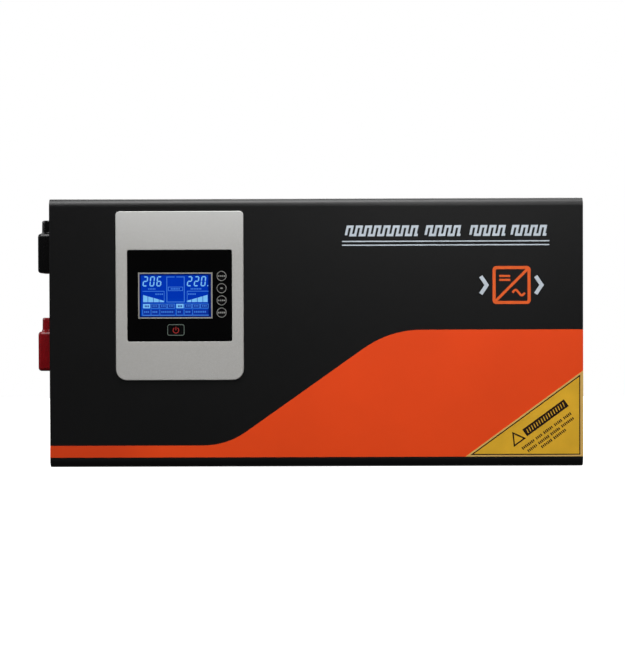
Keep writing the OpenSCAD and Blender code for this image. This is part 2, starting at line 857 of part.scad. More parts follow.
BLOCK_SCREW_Z = [block_z0 - ear_z + 3.2, block_z0 + block_len + ear_z - 3.2];

// Base with a raised floor, ribs between the poles, and two ears that carry the flap's pin
module ac_terminal_block() {
    base_x = panel_out_x + 2.5;
    y0 = block_y - block_half_y;
    y1 = block_y + block_half_y;
    z1 = block_z0 + block_len;
    color("#17181a") difference() {
        union() {
            block([panel_out_x, y0, block_z0 - ear_z], [base_x, hinge_y + 4, z1 + ear_z]);
            block([panel_out_x, y0, block_z0], [panel_out_x + floor_t, y1, z1]);
            for (i = [0:poles]) {
                z = block_z0 + i * (bay + rib_t);
                block([panel_out_x, y0, z], [block_top_x, y1, z + rib_t]);
            }
            block([panel_in_x - 2, block_y - 6.8, block_z0 + 3.2], [base_x, block_y + 6.8, z1 - 3.2]);
            for (z = [block_z0 - ear_z, z1 + ear_z - 3])
                block([panel_out_x, y1 + 1.5, z], [block_top_x, hinge_y + 4, z + 3]);
        }
        bar_z(block_z0 - ear_z - past, z1 + ear_z + past, 1.02, hinge_x, hinge_y);
        for (z = BLOCK_SCREW_Z) bar_x(panel_out_x - past, base_x + past, screw_r + slip, block_y, z);
        for (i = [0:poles - 1])
            bar_x(panel_out_x + 1.5, panel_out_x + 6, screw_r + slip, block_y, bay_z(i));
    }
}

function bay_z(i) = block_z0 + rib_t + bay / 2 + i * (bay + rib_t);

// A slotted pan-head screw pointing into the AC panel
module pan_screw(x, y, z, len, head_r, head_t) {
    difference() {
        union() {
            bar_x(x, x + head_t, head_r, y, z);
            bar_x(x - len, x + head_t / 2, screw_r, y, z);
        }
        block([x + head_t - 1, y - head_r, z - 0.5], [x + head_t + past, y + head_r, z + 0.5]);
    }
}

module ac_terminal_screws() {
    color("#c7b377") for (i = [0:poles - 1])
        pan_screw(panel_out_x + floor_t, block_y, bay_z(i), 3.8, 3.4, 2.4);
    color("#9a9c9e") for (z = BLOCK_SCREW_Z)
        pan_screw(panel_out_x + 2.5, block_y, z, 10, 2.9, 2);
}

flap_t = 1.5;

// The hinged flap over the AC terminals, with a knuckle at each end of its rear lip
module ac_flap() {
    x1 = block_top_x + 1.5;
    y0 = block_y - block_half_y - 2;
    z0 = block_z0 - 2;
    z1 = block_z0 + block_len + 2;
    knuckle_r = 2.6;
    lip_y = hinge_y - knuckle_r - 1.3;
    color("#33373b") difference() {
        union() {
            block([x1, y0, z0], [x1 + flap_t, lip_y + flap_t, z1]);
            block([x1, y0 - 2, mid_z - 10], [x1 + flap_t, y0 + past, mid_z + 10]);
            block([hinge_x - 1, lip_y, z0], [x1 + flap_t, lip_y + flap_t, z1]);
            for (z = [z0, z1 - 12]) bar_z(z, z + 12, knuckle_r, hinge_x, hinge_y);
        }
        bar_z(z0 - past, z1 + past, 1.06, hinge_x, hinge_y);
    }
}

module ac_flap_pin() {
    color("#c9ccd0") bar_z(block_z0 - ear_z, block_z0 + block_len + ear_z, 1, hinge_x, hinge_y);
}

// ---- AC end controls ----

bushing_r = 7.5;
button_r = 4;

// Reset breaker: its case, threaded bushing and panel nut
module breaker_body() {
    color("#191a1c") difference() {
        union() {
            block([180, controls_y - 10, breaker_z - 8], [214, controls_y + 10, breaker_z + 8]);
            bar_x(213, panel_out_x + 3.5, bushing_r, controls_y, breaker_z);
        }
        bar_x(204.8, panel_out_x + 5, button_r + 0.1, controls_y, breaker_z);
    }
    color("#9a9c9e") translate([panel_out_x + 0.02, controls_y, breaker_z]) rotate([0, 90, 0])
        nut(19, 2.2, bushing_r + slip);
}

module breaker_button() {
    color("#e9e6df") bar_x(207, panel_out_x + 6, button_r, controls_y, breaker_z);
}

port_w = 16;
port_h = 14;
port_depth = 16;
jack_w = 11.8;
jack_h = 8.4;
jack_depth = 12;
PORT_Y = [controls_y - 10, controls_y + 10];

module data_ports() {
    x0 = panel_out_x - jack_depth;
    x1 = panel_out_x + past;
    color("#2b2c2e") for (y = PORT_Y) difference() {
        block(
            [panel_out_x - port_depth, y - port_w / 2, port_z - port_h / 2],
            [panel_out_x + 0.3, y + port_w / 2, port_z + port_h / 2]
        );
        block([x0, y - jack_w / 2, port_z - jack_h / 2], [x1, y + jack_w / 2, port_z + jack_h / 2]);
        block([x0, y - 3, port_z - jack_h / 2 - 2], [x1, y + 3, port_z]);
    }
}

selector_r = 5;
selector_shaft_r = 2;

module selector_body() {
    color("#22303f") difference() {
        block([202, controls_y - 7, selector_z - 7], [211, controls_y + 7, selector_z + 7]);
        bar_x(204, 212, selector_shaft_r + slip, controls_y, selector_z);
    }
}

module selector_knob() {
    color("#d9d6cc") difference() {
        union() {
            bar_x(205, 212, selector_shaft_r, controls_y, selector_z);
            bar_x(211.2, panel_out_x - 0.3, selector_r, controls_y, selector_z);
        }
        block(
            [panel_out_x - 1.8, controls_y - 0.6, selector_z - 4],
            [panel_out_x + past, controls_y + 0.6, selector_z + 4]
        );
    }
}

// ---- Output ----

front_cover();
rear_plate();
dc_end_panel();
ac_end_panel();
cover_screws();
orange_decal();
warning_label();
display_bezel();
bezel_screws();
display_lens();
lcd_frame();
lcd_glass();
lcd_backlight();
display_board();
tact_switches();
menu_key();
up_key();
down_key();
enter_key();
power_key();
fan_frame_upper();
fan_frame_lower();
fan_rotor_upper();
fan_rotor_lower();
fan_guard_upper();
fan_guard_lower();
fan_screws();
terminal_base_negative();
terminal_base_positive();
terminal_studs();
terminal_nuts();
terminal_boot_negative();
terminal_boot_positive();
ground_terminal();
busbar_negative();
busbar_positive();
power_board();
dc_capacitors();
relays();
mosfets();
heatsink_upper();
heatsink_lower();
mounting_posts();
toroidal_transformer();
transformer_clamp();
transformer_pads();
transformer_leads();
control_bracket();
control_board();
filter_parts();
ribbon_cable();
ac_terminal_block();
ac_terminal_screws();
ac_flap();
ac_flap_pin();
breaker_body();
breaker_button();
data_ports();
selector_body();
selector_knob();
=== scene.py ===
"""Looks for a wall-hung power inverter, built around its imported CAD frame.

Lengths are in metres in the frame of the CAD part: +X to the right of the display face, +Y from
that face to the wall, +Z up. Sizes written in millimetres are multiplied by MM.
"""
import json
import math

import bmesh
import bpy
from mathutils import Matrix, Vector


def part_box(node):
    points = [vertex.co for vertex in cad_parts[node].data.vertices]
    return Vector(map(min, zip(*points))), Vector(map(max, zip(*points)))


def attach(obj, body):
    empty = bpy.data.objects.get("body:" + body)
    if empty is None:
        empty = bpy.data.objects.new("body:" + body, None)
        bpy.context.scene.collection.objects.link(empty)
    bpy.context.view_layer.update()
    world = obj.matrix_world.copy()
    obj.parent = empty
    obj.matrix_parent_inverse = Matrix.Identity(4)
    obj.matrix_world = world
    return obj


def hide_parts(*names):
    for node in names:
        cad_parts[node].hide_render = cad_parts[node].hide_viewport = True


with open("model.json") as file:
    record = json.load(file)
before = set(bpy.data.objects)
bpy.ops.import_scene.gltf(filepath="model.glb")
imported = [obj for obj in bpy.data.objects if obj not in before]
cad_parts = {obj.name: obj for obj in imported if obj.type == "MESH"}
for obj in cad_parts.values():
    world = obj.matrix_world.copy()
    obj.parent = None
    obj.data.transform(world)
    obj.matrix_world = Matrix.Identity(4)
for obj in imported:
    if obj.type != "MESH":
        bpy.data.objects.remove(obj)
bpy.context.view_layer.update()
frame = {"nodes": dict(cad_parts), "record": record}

MM = 0.001
INK = 0.05 * MM  # thickness of printed ink
SLOT_OF = {part["node"]: part["material_slot"] for part in frame["record"]["subparts"]}


def corners(node):
    """Lowest and highest corners of a CAD node."""
    low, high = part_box(node)
    return Vector(low), Vector(high)


def middle(node):
    """Centre of a CAD node's box."""
    low, high = corners(node)
    return (low + high) / 2


COVER_LOW, COVER_HIGH = corners("front_cover")
FACE_Y = COVER_LOW.y
CASE_HEIGHT = COVER_HIGH.z


# ---- Materials ----

CLOUD_DETAIL, GRAIN_DETAIL = 4.0, 2.0  # how fine the tone and the grain break up
COAT_ROUGHNESS = 0.12


def blank(name):
    """A new material, its node tree and its shader."""
    material = bpy.data.materials.new(name)
    material.use_nodes = True
    tree = material.node_tree
    return material, tree, tree.nodes["Principled BSDF"]


def object_coords(tree, stretch=(1, 1, 1)):
    """Coordinates fixed to the object, stretched along each axis."""
    coords = tree.nodes.new("ShaderNodeTexCoord")
    mapping = tree.nodes.new("ShaderNodeMapping")
    mapping.inputs["Scale"].default_value = stretch
    tree.links.new(coords.outputs["Object"], mapping.inputs["Vector"])
    return mapping.outputs["Vector"]


def set_inputs(tree, node, values):
    """Sets each named input of a node to a value, or links a socket to it."""
    for name, value in values.items():
        if isinstance(value, bpy.types.NodeSocket):
            tree.links.new(value, node.inputs[name])
        else:
            node.inputs[name].default_value = value


def noise(tree, size, detail=3.0, stretch=(1, 1, 1)):
    """Noise whose features are about size metres across."""
    texture = tree.nodes.new("ShaderNodeTexNoise")
    coords = object_coords(tree, stretch)
    set_inputs(tree, texture, {"Scale": 1 / size, "Detail": detail, "Vector": coords})
    return texture.outputs["Fac"]


def cells(tree, size):
    """A Voronoi texture whose cells are about size metres across."""
    texture = tree.nodes.new("ShaderNodeTexVoronoi")
    set_inputs(tree, texture, {"Scale": 1 / size, "Vector": object_coords(tree)})
    return texture


def span(tree, value, low, high, start=0.3, stop=0.7):
    """Maps start..stop of a value to low..high."""
    node = tree.nodes.new("ShaderNodeMapRange")
    ends = {"From Min": start, "From Max": stop, "To Min": low, "To Max": high}
    set_inputs(tree, node, {"Value": value, **ends})
    return node.outputs["Result"]


def mix(tree, factor, first, second):
    """A colour between two colours, each a tuple or a socket."""
    node = tree.nodes.new("ShaderNodeMix")
    node.data_type = "RGBA"
    first, second = ((*colour, 1) if isinstance(colour, tuple) else colour for colour in (first, second))
    set_inputs(tree, node, {"Factor": factor, "A": first, "B": second})
    return node.outputs["Result"]


def calculate(tree, operation, *values):
    """A math node on numbers and sockets."""
    node = tree.nodes.new("ShaderNodeMath")
    node.operation = operation
    set_inputs(tree, node, dict(enumerate(values)))
    return node.outputs["Value"]


def position(tree):
    """The X, Y and Z of the shaded point, fixed to the object."""
    split = tree.nodes.new("ShaderNodeSeparateXYZ")
    set_inputs(tree, split, {"Vector": object_coords(tree)})
    return split.outputs["X"], split.outputs["Y"], split.outputs["Z"]


def bump(tree, shader, height, strength, depth):
    """Raises the surface by a height."""
    node = tree.nodes.new("ShaderNodeBump")
    set_inputs(tree, node, {"Strength": strength, "Distance": depth, "Height": height})
    set_inputs(tree, shader, {"Normal": node.outputs["Normal"]})


def scaled(colour, factor):
    """A colour made darker or paler."""
    return tuple(min(1.0, channel * factor) for channel in colour)


def surface(
    name, colour, rough, metal=0.0, level=0.5, coat=0.0, tone=0.12, tone_size=40, grain=0.8,
    relief=0.1, depth=0.03, spread=0.05, stretch=(1, 1, 1),
):
    """Cloudy tone, uneven roughness and a fine raised grain, with sizes in millimetres."""
    material, tree, shader = blank(name)
    clouds = span(tree, noise(tree, tone_size * MM, CLOUD_DETAIL), 0, 1)
    fine = noise(tree, grain * MM, GRAIN_DETAIL, stretch)
    set_inputs(tree, shader, {
        "Base Color": mix(tree, clouds, scaled(colour, 1 - tone), scaled(colour, 1 + tone)),
        "Metallic": metal,
        "Roughness": span(tree, fine, rough - spread, rough + spread),
        "Specular IOR Level": level,
        "Coat Weight": coat,
        "Coat Roughness": COAT_ROUGHNESS,
    })
    bump(tree, shader, fine, relief, depth * MM)
    return material


def silver_paint():
    """Metallic paint: tiny flakes in a satin grey, with a painted highlight that makes it palest along
    the bezel's top.
    """
    low, high = corners("display_bezel")
    highlight_share = 0.27  # of the bezel's height
    flake = 0.25 * MM
    material, tree, shader = blank("silver_paint")
    flakes = cells(tree, flake).outputs["Distance"]
    _, _, z = position(tree)
    # painted highlight: the base colour grows paler over the top share of the bezel, where the overhead
    # light falls
    rise = span(tree, z, 0, 1, high.z - highlight_share * (high.z - low.z), high.z)
    plain = mix(tree, noise(tree, 60 * MM), (0.352, 0.343, 0.325), (0.380, 0.370, 0.352))
    # the paler colour mixed in here is the painted highlight
    tone_with_painted_highlight = mix(tree, rise, plain, (0.485, 0.485, 0.472))
    set_inputs(tree, shader, {
        "Base Color": mix(tree, calculate(tree, "POWER", flakes, 2.0), tone_with_painted_highlight, (0.55, 0.55, 0.54)),
        "Metallic": 0.15,
        "Roughness": span(tree, flakes, 0.42, 0.52, 0, 1),
        "Specular IOR Level": 0.4,
    })
    bump(tree, shader, noise(tree, 0.35 * MM), 0.08, 0.02 * MM)
    return material


def lit_display():
    """Backlit blue, paler in the lower rows and dark along its edges."""
    low, high = corners("lcd_glass")
    margin, soft = 1.2 * MM, 0.3 * MM  # width of the dark edge, and how softly it ends
    pale_from, pale_to = 8 * MM, 16 * MM  # above the glass's lower edge
    pixel = 0.5 * MM
    material, tree, shader = blank("lcd_blue")
    x, _, z = position(tree)
    inside = calculate(tree, "SUBTRACT", x, low.x + margin)
    for first, second in ((high.x - 2 * margin, x), (z, low.z + margin), (high.z - margin, z)):
        inside = calculate(tree, "MINIMUM", inside, calculate(tree, "SUBTRACT", first, second))
    lit = span(tree, inside, 0, 1, -soft, soft)
    lower = span(tree, z, 1, 0, low.z + pale_from, low.z + pale_to)
    rows = mix(tree, lower, (0.0, 0.029, 0.405), (0.002, 0.060, 0.46))
    glow = mix(tree, lit, (0.0, 0.006, 0.08), rows)
    set_inputs(tree, shader, {
        "Base Color": mix(tree, lit, (0.0, 0.002, 0.02), (0.0, 0.004, 0.04)),
        "Roughness": span(tree, noise(tree, 3 * MM), 0.14, 0.2),
        "Specular IOR Level": 0.1,
        "Emission Color": mix(tree, span(tree, noise(tree, pixel), 0, 0.25), glow, (0.0, 0.02, 0.25)),
        "Emission Strength": 1.0,
    })
    return material


def glowing(name, colour, strength, base=(0.002, 0.004, 0.01)):
    """A lit mark, slightly uneven along its length."""
    material, tree, shader = blank(name)
    uneven = span(tree, noise(tree, 2.5 * MM), 0, 1)
    set_inputs(tree, shader, {
        "Base Color": mix(tree, uneven, base, scaled(base, 1.2)),
        "Roughness": 0.5,
        "Specular IOR Level": 0.1,
        "Emission Color": mix(tree, uneven, scaled(colour, 0.88), colour),
        "Emission Strength": strength,
    })
    return material


def circuit_board():
    """Green solder mask over tracks, with small pale pads."""
    track_cell, pad_pitch = 6 * MM, 3.5 * MM
    track_waves = 40
    material, tree, shader = blank("circuit_board")
    tracks = cells(tree, track_cell)
    tracks.distance = "CHEBYCHEV"
    tracks.feature = "F2"
    waves = calculate(tree, "MULTIPLY", tracks.outputs["Distance"], track_waves)
    lines = span(tree, calculate(tree, "SINE", waves), 0, 1)
    mask = mix(tree, lines, (0.010, 0.075, 0.028), (0.018, 0.14, 0.05))
    pads = span(tree, cells(tree, pad_pitch).outputs["Distance"], 1, 0, 0.12, 0.16)
    set_inputs(tree, shader, {
        "Base Color": mix(tree, pads, mask, (0.55, 0.54, 0.5)),
        "Roughness": span(tree, lines, 0.25, 0.4, 0, 1),
    })
    bump(tree, shader, lines, 0.3, 0.04 * MM)
    return material


def wound_tape():
    """Overlapping turns of tape round the transformer's ring."""
    centre = middle("toroidal_transformer")
    laps, slant = 7.0, 9.0  # laps of tape in a radian, and how much they lean along the ring's axis
    material, tree, shader = blank("winding_tape")
    x, y, z = position(tree)
    rise, run = calculate(tree, "SUBTRACT", z, centre.z), calculate(tree, "SUBTRACT", x, centre.x)
    angle = calculate(tree, "ARCTAN2", rise, run)
    leaning = calculate(tree, "ADD", angle, calculate(tree, "MULTIPLY", y, slant))
    turns = calculate(tree, "FRACT", calculate(tree, "MULTIPLY", leaning, laps))
    set_inputs(tree, shader, {
        "Base Color": mix(tree, turns, (0.40, 0.20, 0.035), (0.52, 0.29, 0.06)),
        "Roughness": span(tree, turns, 0.28, 0.42, 0, 1),
    })
    bump(tree, shader, turns, 0.5, 0.3 * MM)
    return material


def orange_film():
    """Orange film, with painted shade that darkens the band's left end."""
    material = surface("orange_film", (0.76, 0.060, 0.007), 0.40, level=0.3, grain=0.5,
                       relief=0.07, tone=0.04, tone_size=70)
    shade_until, clear_from = -0.165, -0.125  # X, in metres
    tree = material.node_tree
    shader = tree.nodes["Principled BSDF"]
    clear = shader.inputs["Base Color"].links[0].from_socket
    x, _, _ = position(tree)
    # painted shade: the film's colour darkens towards the band's left end
    dim = span(tree, x, 1, 0, shade_until, clear_from)
    set_inputs(tree, shader, {"Base Color": mix(tree, dim, clear, (0.62, 0.046, 0.006))})
    return material


# Colour, roughness and whatever differs from the usual surface
PLAIN = {
    "case_black": ((0.0030, 0.0030, 0.0032), 0.34, dict(grain=0.55, relief=0.16, tone_size=90)),
    "panel_black": ((0.011, 0.011, 0.0115), 0.55, dict(level=0.4, grain=0.9, relief=0.35, depth=0.05)),
    "screw_black": ((0.03, 0.03, 0.032), 0.35, dict(metal=0.8, grain=0.3)),
    "lens_black": ((0.0009, 0.0009, 0.0010), 0.10,
        dict(level=0.24, grain=1.5, relief=0.01, spread=0.03, tone=0.3)),
    "lcd_frame_grey": ((0.27, 0.265, 0.235), 0.45, dict(grain=0.4)),
    "white_plastic": ((0.75, 0.77, 0.8), 0.45, dict(tone=0.03)),
    "key_black": ((0.0014, 0.0014, 0.0015), 0.24, dict(level=0.25, grain=0.5, relief=0.05, tone=0.25)),
    "black_plastic": ((0.013, 0.013, 0.0135), 0.46, dict(grain=0.45, relief=0.3)),
    "white_print": ((0.48, 0.535, 0.59), 0.50, dict(level=0.3, tone=0.06, tone_size=6, grain=0.3)),
    "orange_print": ((0.70, 0.105, 0.018), 0.48, dict(level=0.3, tone=0.06, tone_size=6, grain=0.3)),
    "guard_chrome": ((0.62, 0.63, 0.65), 0.20, dict(metal=1.0, tone=0.06, tone_size=12, relief=0.05)),
    "zinc_steel": ((0.56, 0.56, 0.575), 0.32,
        dict(metal=1.0, tone=0.10, tone_size=8, grain=0.25, relief=0.12)),
    "yellow_film": ((0.71, 0.40, 0.026), 0.42,
        dict(metal=0.1, level=0.3, tone_size=30, grain=0.4, relief=0.08, stretch=(0.1, 1, 1))),
    "brass": ((0.66, 0.43, 0.16), 0.28, dict(metal=1.0, tone_size=6, grain=0.2, relief=0.12)),
    "copper": ((0.72, 0.34, 0.19), 0.30,
        dict(metal=1.0, tone=0.14, tone_size=12, grain=0.3, stretch=(1, 0.15, 1))),
    "red_plastic": ((0.26, 0.008, 0.012), 0.42, dict(grain=0.5, relief=0.2)),
    "boot_black": ((0.0014, 0.0014, 0.0015), 0.24, dict(grain=0.7, relief=0.10, tone=0.2, tone_size=9)),
    "boot_red": ((0.26, 0.0016, 0.0050), 0.24, dict(grain=0.7, relief=0.10, tone_size=9)),
    "capacitor_sleeve": ((0.014, 0.022, 0.045), 0.26, dict(coat=0.3, tone=0.2)),
    "aluminium": ((0.66, 0.665, 0.68), 0.36,
        dict(metal=1.0, tone=0.06, grain=0.35, relief=0.15, stretch=(0.05, 1, 1))),
    "rubber_black": ((0.02, 0.02, 0.02), 0.75, dict(grain=0.5, relief=0.3)),
    "lead_red": ((0.42, 0.02, 0.015), 0.42, dict(grain=0.5)),
    "ribbon_grey": ((0.46, 0.46, 0.48), 0.5, dict(grain=1.27, relief=0.6, stretch=(0.02, 0.02, 1))),
    "smoked_flap": ((0.018, 0.020, 0.022), 0.22, dict(grain=1.2, relief=0.05, coat=0.2)),
    "button_ivory": ((0.70, 0.66, 0.58), 0.38, dict(grain=0.4, relief=0.08, tone=0.05)),
}
MATERIALS = {
    name: surface(name, colour, rough, **rest) for name, (colour, rough, rest) in PLAIN.items()
}
MATERIALS.update(
    orange_film=orange_film(),
    silver_paint=silver_paint(),
    lcd_blue=lit_display(),
    circuit_board=circuit_board(),
    winding_tape=wound_tape(),
)
LIT_SEGMENT = glowing("lit_segment", (0.19, 0.52, 0.92), 1.0)
DIM_SEGMENT = glowing("dim_segment", (0.050, 0.225, 0.80), 0.9)
DARK_SEGMENT = glowing("dark_segment", (0.0, 0.021, 0.30), 1.0)
RED_SYMBOL = glowing("red_symbol", (0.20, 0.015, 0.015), 0.8, (0.15, 0.012, 0.010))
KEY_LOOK = dict(level=0.3, grain=0.3, tone=0.1, tone_size=4)
KEY_PRINT = surface("key_print", (0.20, 0.20, 0.19), 0.5, **KEY_LOOK)
POWER_PRINT = surface("power_print", (0.10, 0.13, 0.11), 0.5, **KEY_LOOK)
LABEL_INK = surface("label_ink", (0.014, 0.006, 0.004), 0.5, level=0.25, grain=0.3, tone=0.2)
LABEL_RIM = surface("label_rim", (0.62, 0.39, 0.11), 0.45, level=0.3, grain=0.4, tone=0.08)


def paint_frame():
    """Gives every CAD node the material of its record slot."""
    for node, thing in frame["nodes"].items():
        for holder in thing.material_slots:
            holder.material = MATERIALS[SLOT_OF[node]]


# ---- Mesh building ----

def mesh_of(name, build):
    """A mesh that build fills, with its faces turned outwards."""
    shape = bmesh.new()
    build(shape)
    bmesh.ops.recalc_face_normals(shape, faces=shape.faces[:])
    mesh = bpy.data.meshes.new(name)
    shape.to_mesh(mesh)
    shape.free()
    return mesh


def added(name, data):
    """A new object in the scene."""
    thing = bpy.data.objects.new(name, data)
    bpy.context.scene.collection.objects.link(thing)
    return thing


def piece(name, build, slot, body="case", replaces=(), sharp=35, material=None):
    """A mesh piece that rides on a body. build fills a bmesh, or is a finished mesh."""
    if isinstance(build, bpy.types.Mesh):
        mesh = build
        mesh.name = name
        mesh.materials.clear()
    else:
        mesh = mesh_of(name, build)
    mesh.materials.append(material or MATERIALS[slot])
    mesh.shade_smooth()
    mesh.set_sharp_from_angle(angle=math.radians(sharp))
    thing = added(name, mesh)
    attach(thing, body)
    if replaces:
        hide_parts(*replaces)


def loft(shape, rings, closed=False):
    """Skins rings of equal length, and joins or else caps the two ends."""
    made = [[shape.verts.new(point) for point in ring] for ring in rings]
    pairs = list(zip(made, made[1:]))
    if closed:
        pairs.append((made[-1], made[0]))
    for first, second in pairs:
        for i in range(len(first)):
            j = (i + 1) % len(first)
            shape.faces.new((first[i], first[j], second[j], second[i]))
    if not closed:
        shape.faces.new(made[0])
        shape.faces.new(made[-1][::-1])


def lathe(shape, profile, place, steps=48, closed=False):
    """Turns a profile of (radius, height) about an axis. place(u, v, height) gives a point."""
    rings = [[place(u, v, height) for u, v in circle(radius, steps=steps)] for radius, height in profile]
    loft(shape, rings, closed)


def stack(shape, levels, place, closed=False):
    """Skins pairs of outline and level."""
    loft(shape, [[place(a, b, level) for a, b in outline] for outline, level in levels], closed)


def quarter(steps):
    """For steps of a quarter turn, how far it has gone aside and how far it has yet to rise."""
    turn = [math.radians(90 * step / steps) for step in range(steps + 1)]
    return [(1 - math.cos(a), 1 - math.sin(a)) for a in turn]


def rounded_outline(width, height, top, bottom=None, steps=10):
    """Points round a rectangle, with a radius for the top corners and one for the bottom."""
    bottom = top if bottom is None else bottom
    points = []
    quadrants = ((1, 1, top, 0), (-1, 1, top, 90), (-1, -1, bottom, 180), (1, -1, bottom, 270))
    for sx, sz, radius, start in quadrants:
        across, up = sx * (width / 2 - radius), sz * (height / 2 - radius)
        points += arc(radius, start, start + 90, across, up, steps)
    return points


def on_face(cx, cz):
    """Places (across, up, out) on the face, about a centre."""
    return lambda across, up, out: (cx + across, FACE_Y - out, cz + up)


def front_of(node):
    """Places points about a node's middle, and says how far it stands out of the face."""
    centre = middle(node)
    return on_face(centre.x, centre.z), FACE_Y - corners(node)[0].y


def ink(shape, outline, place, base=0.0, thick=INK):
    """A thin solid plate of printed ink with the given outline."""
    stack(shape, [(outline, base), (outline, base + thick)], place)


def ink_frame(shape, outer, inner, place, base=0.0, thick=INK):
    """A printed line between two outlines with equally many points."""
    levels = [(outer, base), (outer, base + thick), (inner, base + thick), (inner, base)]
    stack(shape, levels, place, closed=True)


def mm(*points):
    """Pairs of millimetres turned into metres."""
    return [(a * MM, b * MM) for a, b in points]


def bar(across, up, width, height):
    """Outline of a plain rectangle about a point."""
    x, z = width / 2, height / 2
    return [(across - x, up - z), (across + x, up - z), (across + x, up + z), (across - x, up + z)]


def full_turn(steps):
    """Angles in equal steps round a circle."""
    return [2 * math.pi * i / steps for i in range(steps)]


def circle(radius, steps=40):
    """Points round a circle."""
    return [(radius * math.cos(a), radius * math.sin(a)) for a in full_turn(steps)]


def stroke(points, width):
    """Outline of a line through a few points, with mitred corners."""
    spots = [Vector(point) for point in points]
    runs = [(after - before).normalized() for before, after in zip(spots, spots[1:])]
    left, right = [], []
    for spot, coming, going in zip(spots, runs[:1] + runs, runs + runs[-1:]):
        along = (coming + going).normalized()
        side = Vector((-along.y, along.x)) * width / 2 / along.dot(going)
        left.append(tuple(spot + side))
        right.append(tuple(spot - side))
    return left + right[::-1]


def arc(radius, start, stop, across=0.0, up=0.0, steps=24):
    """Points along an arc, with its angles in degrees."""
    turn = [math.radians(start + (stop - start) * i / steps) for i in range(steps + 1)]
    return [(across + radius * math.cos(a), up + radius * math.sin(a)) for a in turn]


def turned(points, angle, across=0.0, up=0.0):
    """Points turned by an angle in degrees and then moved."""
    c, s = math.cos(math.radians(angle)), math.sin(math.radians(angle))
    return [(across + a * c - b * s, up + a * s + b * c) for a, b in points]


# ---- Display panel ----

LENS_LOW, LENS_HIGH = corners("display_lens")
LENS_SIDES = ((LENS_LOW.x, LENS_HIGH.x), (LENS_LOW.z, LENS_HIGH.z))


def bezel_shape(shape):
    """A moulded plate with a rounded rim and a softened window edge."""
    low, high = corners("display_bezel")
    place, out = front_of("display_bezel")
    width, height = high.x - low.x, high.z - low.z
    rim, lip, top, bottom, flat = 0.7 * MM, 0.4 * MM, 3.3 * MM, 9 * MM, 0.3 * MM
    slack, corner = 0.2 * MM, 1.6 * MM  # the window's play round the lens, and its corner radius

    def plate(inset):
        return rounded_outline(width - 2 * inset, height - 2 * inset, top - inset, bottom - inset)

    def window(widen):
        sides = (high_side - low_side + slack + widen for low_side, high_side in LENS_SIDES)
        return rounded_outline(*sides, corner)

    levels = [(plate(0.0), 0.0)]
    levels += [(plate(rim * aside), out - rim * back) for aside, back in quarter(6)]
    levels += [(plate(rim + flat), out), (window(2 * (lip + flat)), out)]
    levels += [(window(2 * lip * back), out - lip * aside) for aside, back in quarter(4)]
    levels.append((window(0.0), 0.0))
    stack(shape, levels, place, closed=True)


KEY_BACK = -1.2 * MM  # level of the caps' back
KEY_EDGE = 0.45 * MM  # rounding of a cap's rim
POWER_SIZE = (14.2 * MM, 9.4 * MM)
ROUND_KEYS = ("menu_key", "up_key", "down_key", "enter_key")
DOT_KEY = "up_key"  # the one key marked with a single block
KEY_BLOCKS = 4
BLOCK_PITCH = 1.62 * MM
MARK_THICK, BLOCK_THICK = 0.08 * MM, 0.12 * MM


def key_radius(node):
    """Half of a key's height."""
    low, high = corners(node)
    return (high.z - low.z) / 2


def key_back(shape, node, place):
    """The collar that holds a key behind the lens, and the stem that meets its switch."""
    low, high = corners(node)
    stem = 1.5 * MM
    collar = rounded_outline(high.x - low.x, 1.9 * key_radius(node), 1 * MM, steps=4)
    stack(shape, [(collar, -0.3 * MM), (collar, KEY_BACK)], place)
    lathe(shape, [(stem, KEY_BACK), (stem, FACE_Y - high.y)], place, 20)


def key_cap(shape, node, dish, outline):
    """A dished cap with a soft rim. outline(inset) is its edge, dish holds outlines and depths."""
    place, out = front_of(node)
    levels = [(ring, out - depth * MM) for ring, depth in dish]
    levels += [(outline(KEY_EDGE * back), out - KEY_EDGE * aside) for aside, back in quarter(5)]
    levels.append((outline(0.0), KEY_BACK))
    stack(shape, levels, place)
    key_back(shape, node, place)


def round_key_shape(node):
    """A round cap."""
    radius = key_radius(node)

    def outline(inset):
        return circle(radius - inset, 56)

    hollow = ((0.01 * MM, 0.16), (radius * 0.4, 0.13), (radius * 0.7, 0.05))
    dish = [(circle(r, 56), depth) for r, depth in hollow]
    return lambda shape: key_cap(shape, node, dish, outline)


def power_key_shape(shape):
    """An oblong cap."""
    width, height, radius = POWER_SIZE[0], 2 * key_radius("power_key"), 2 * MM

    def outline(inset):
        return rounded_outline(width - 2 * inset, height - 2 * inset, radius - inset)

    dish = [(rounded_outline(width * k, height * k, radius * k), depth)
            for k, depth in ((0.3, 0.14), (0.6, 0.12), (0.85, 0.03))]
    key_cap(shape, "power_key", dish, outline)


def key_mark(node):
    """A printed ring with a row of small blocks, or a single one, in it."""
    def build(shape):
        place, front = front_of(node)
        radius, out = key_radius(node), front - 0.04 * MM
        ink_frame(shape, circle(radius - 0.05 * MM), circle(radius - 0.55 * MM), place, out, MARK_THICK)
        sunk = out - 0.1 * MM
        if node == DOT_KEY:
            ink(shape, bar(0, 0, 1.9 * MM, 1.1 * MM), place, sunk, BLOCK_THICK)
            return
        for i in range(KEY_BLOCKS):
            across = (i - (KEY_BLOCKS - 1) / 2) * BLOCK_PITCH
            ink(shape, bar(across, 0, 1.2 * MM, 1.2 * MM), place, sunk, BLOCK_THICK)
    return build


def power_outline(shape):
    """The printed line round the power key."""
    place, front = front_of("power_key")
    width, height = POWER_SIZE
    outer = rounded_outline(width - 0.2 * MM, height - 0.2 * MM, 1.9 * MM)
    inner = rounded_outline(width - 1.3 * MM, height - 1.3 * MM, 1.35 * MM)
    ink_frame(shape, outer, inner, place, front - 0.06 * MM, MARK_THICK)


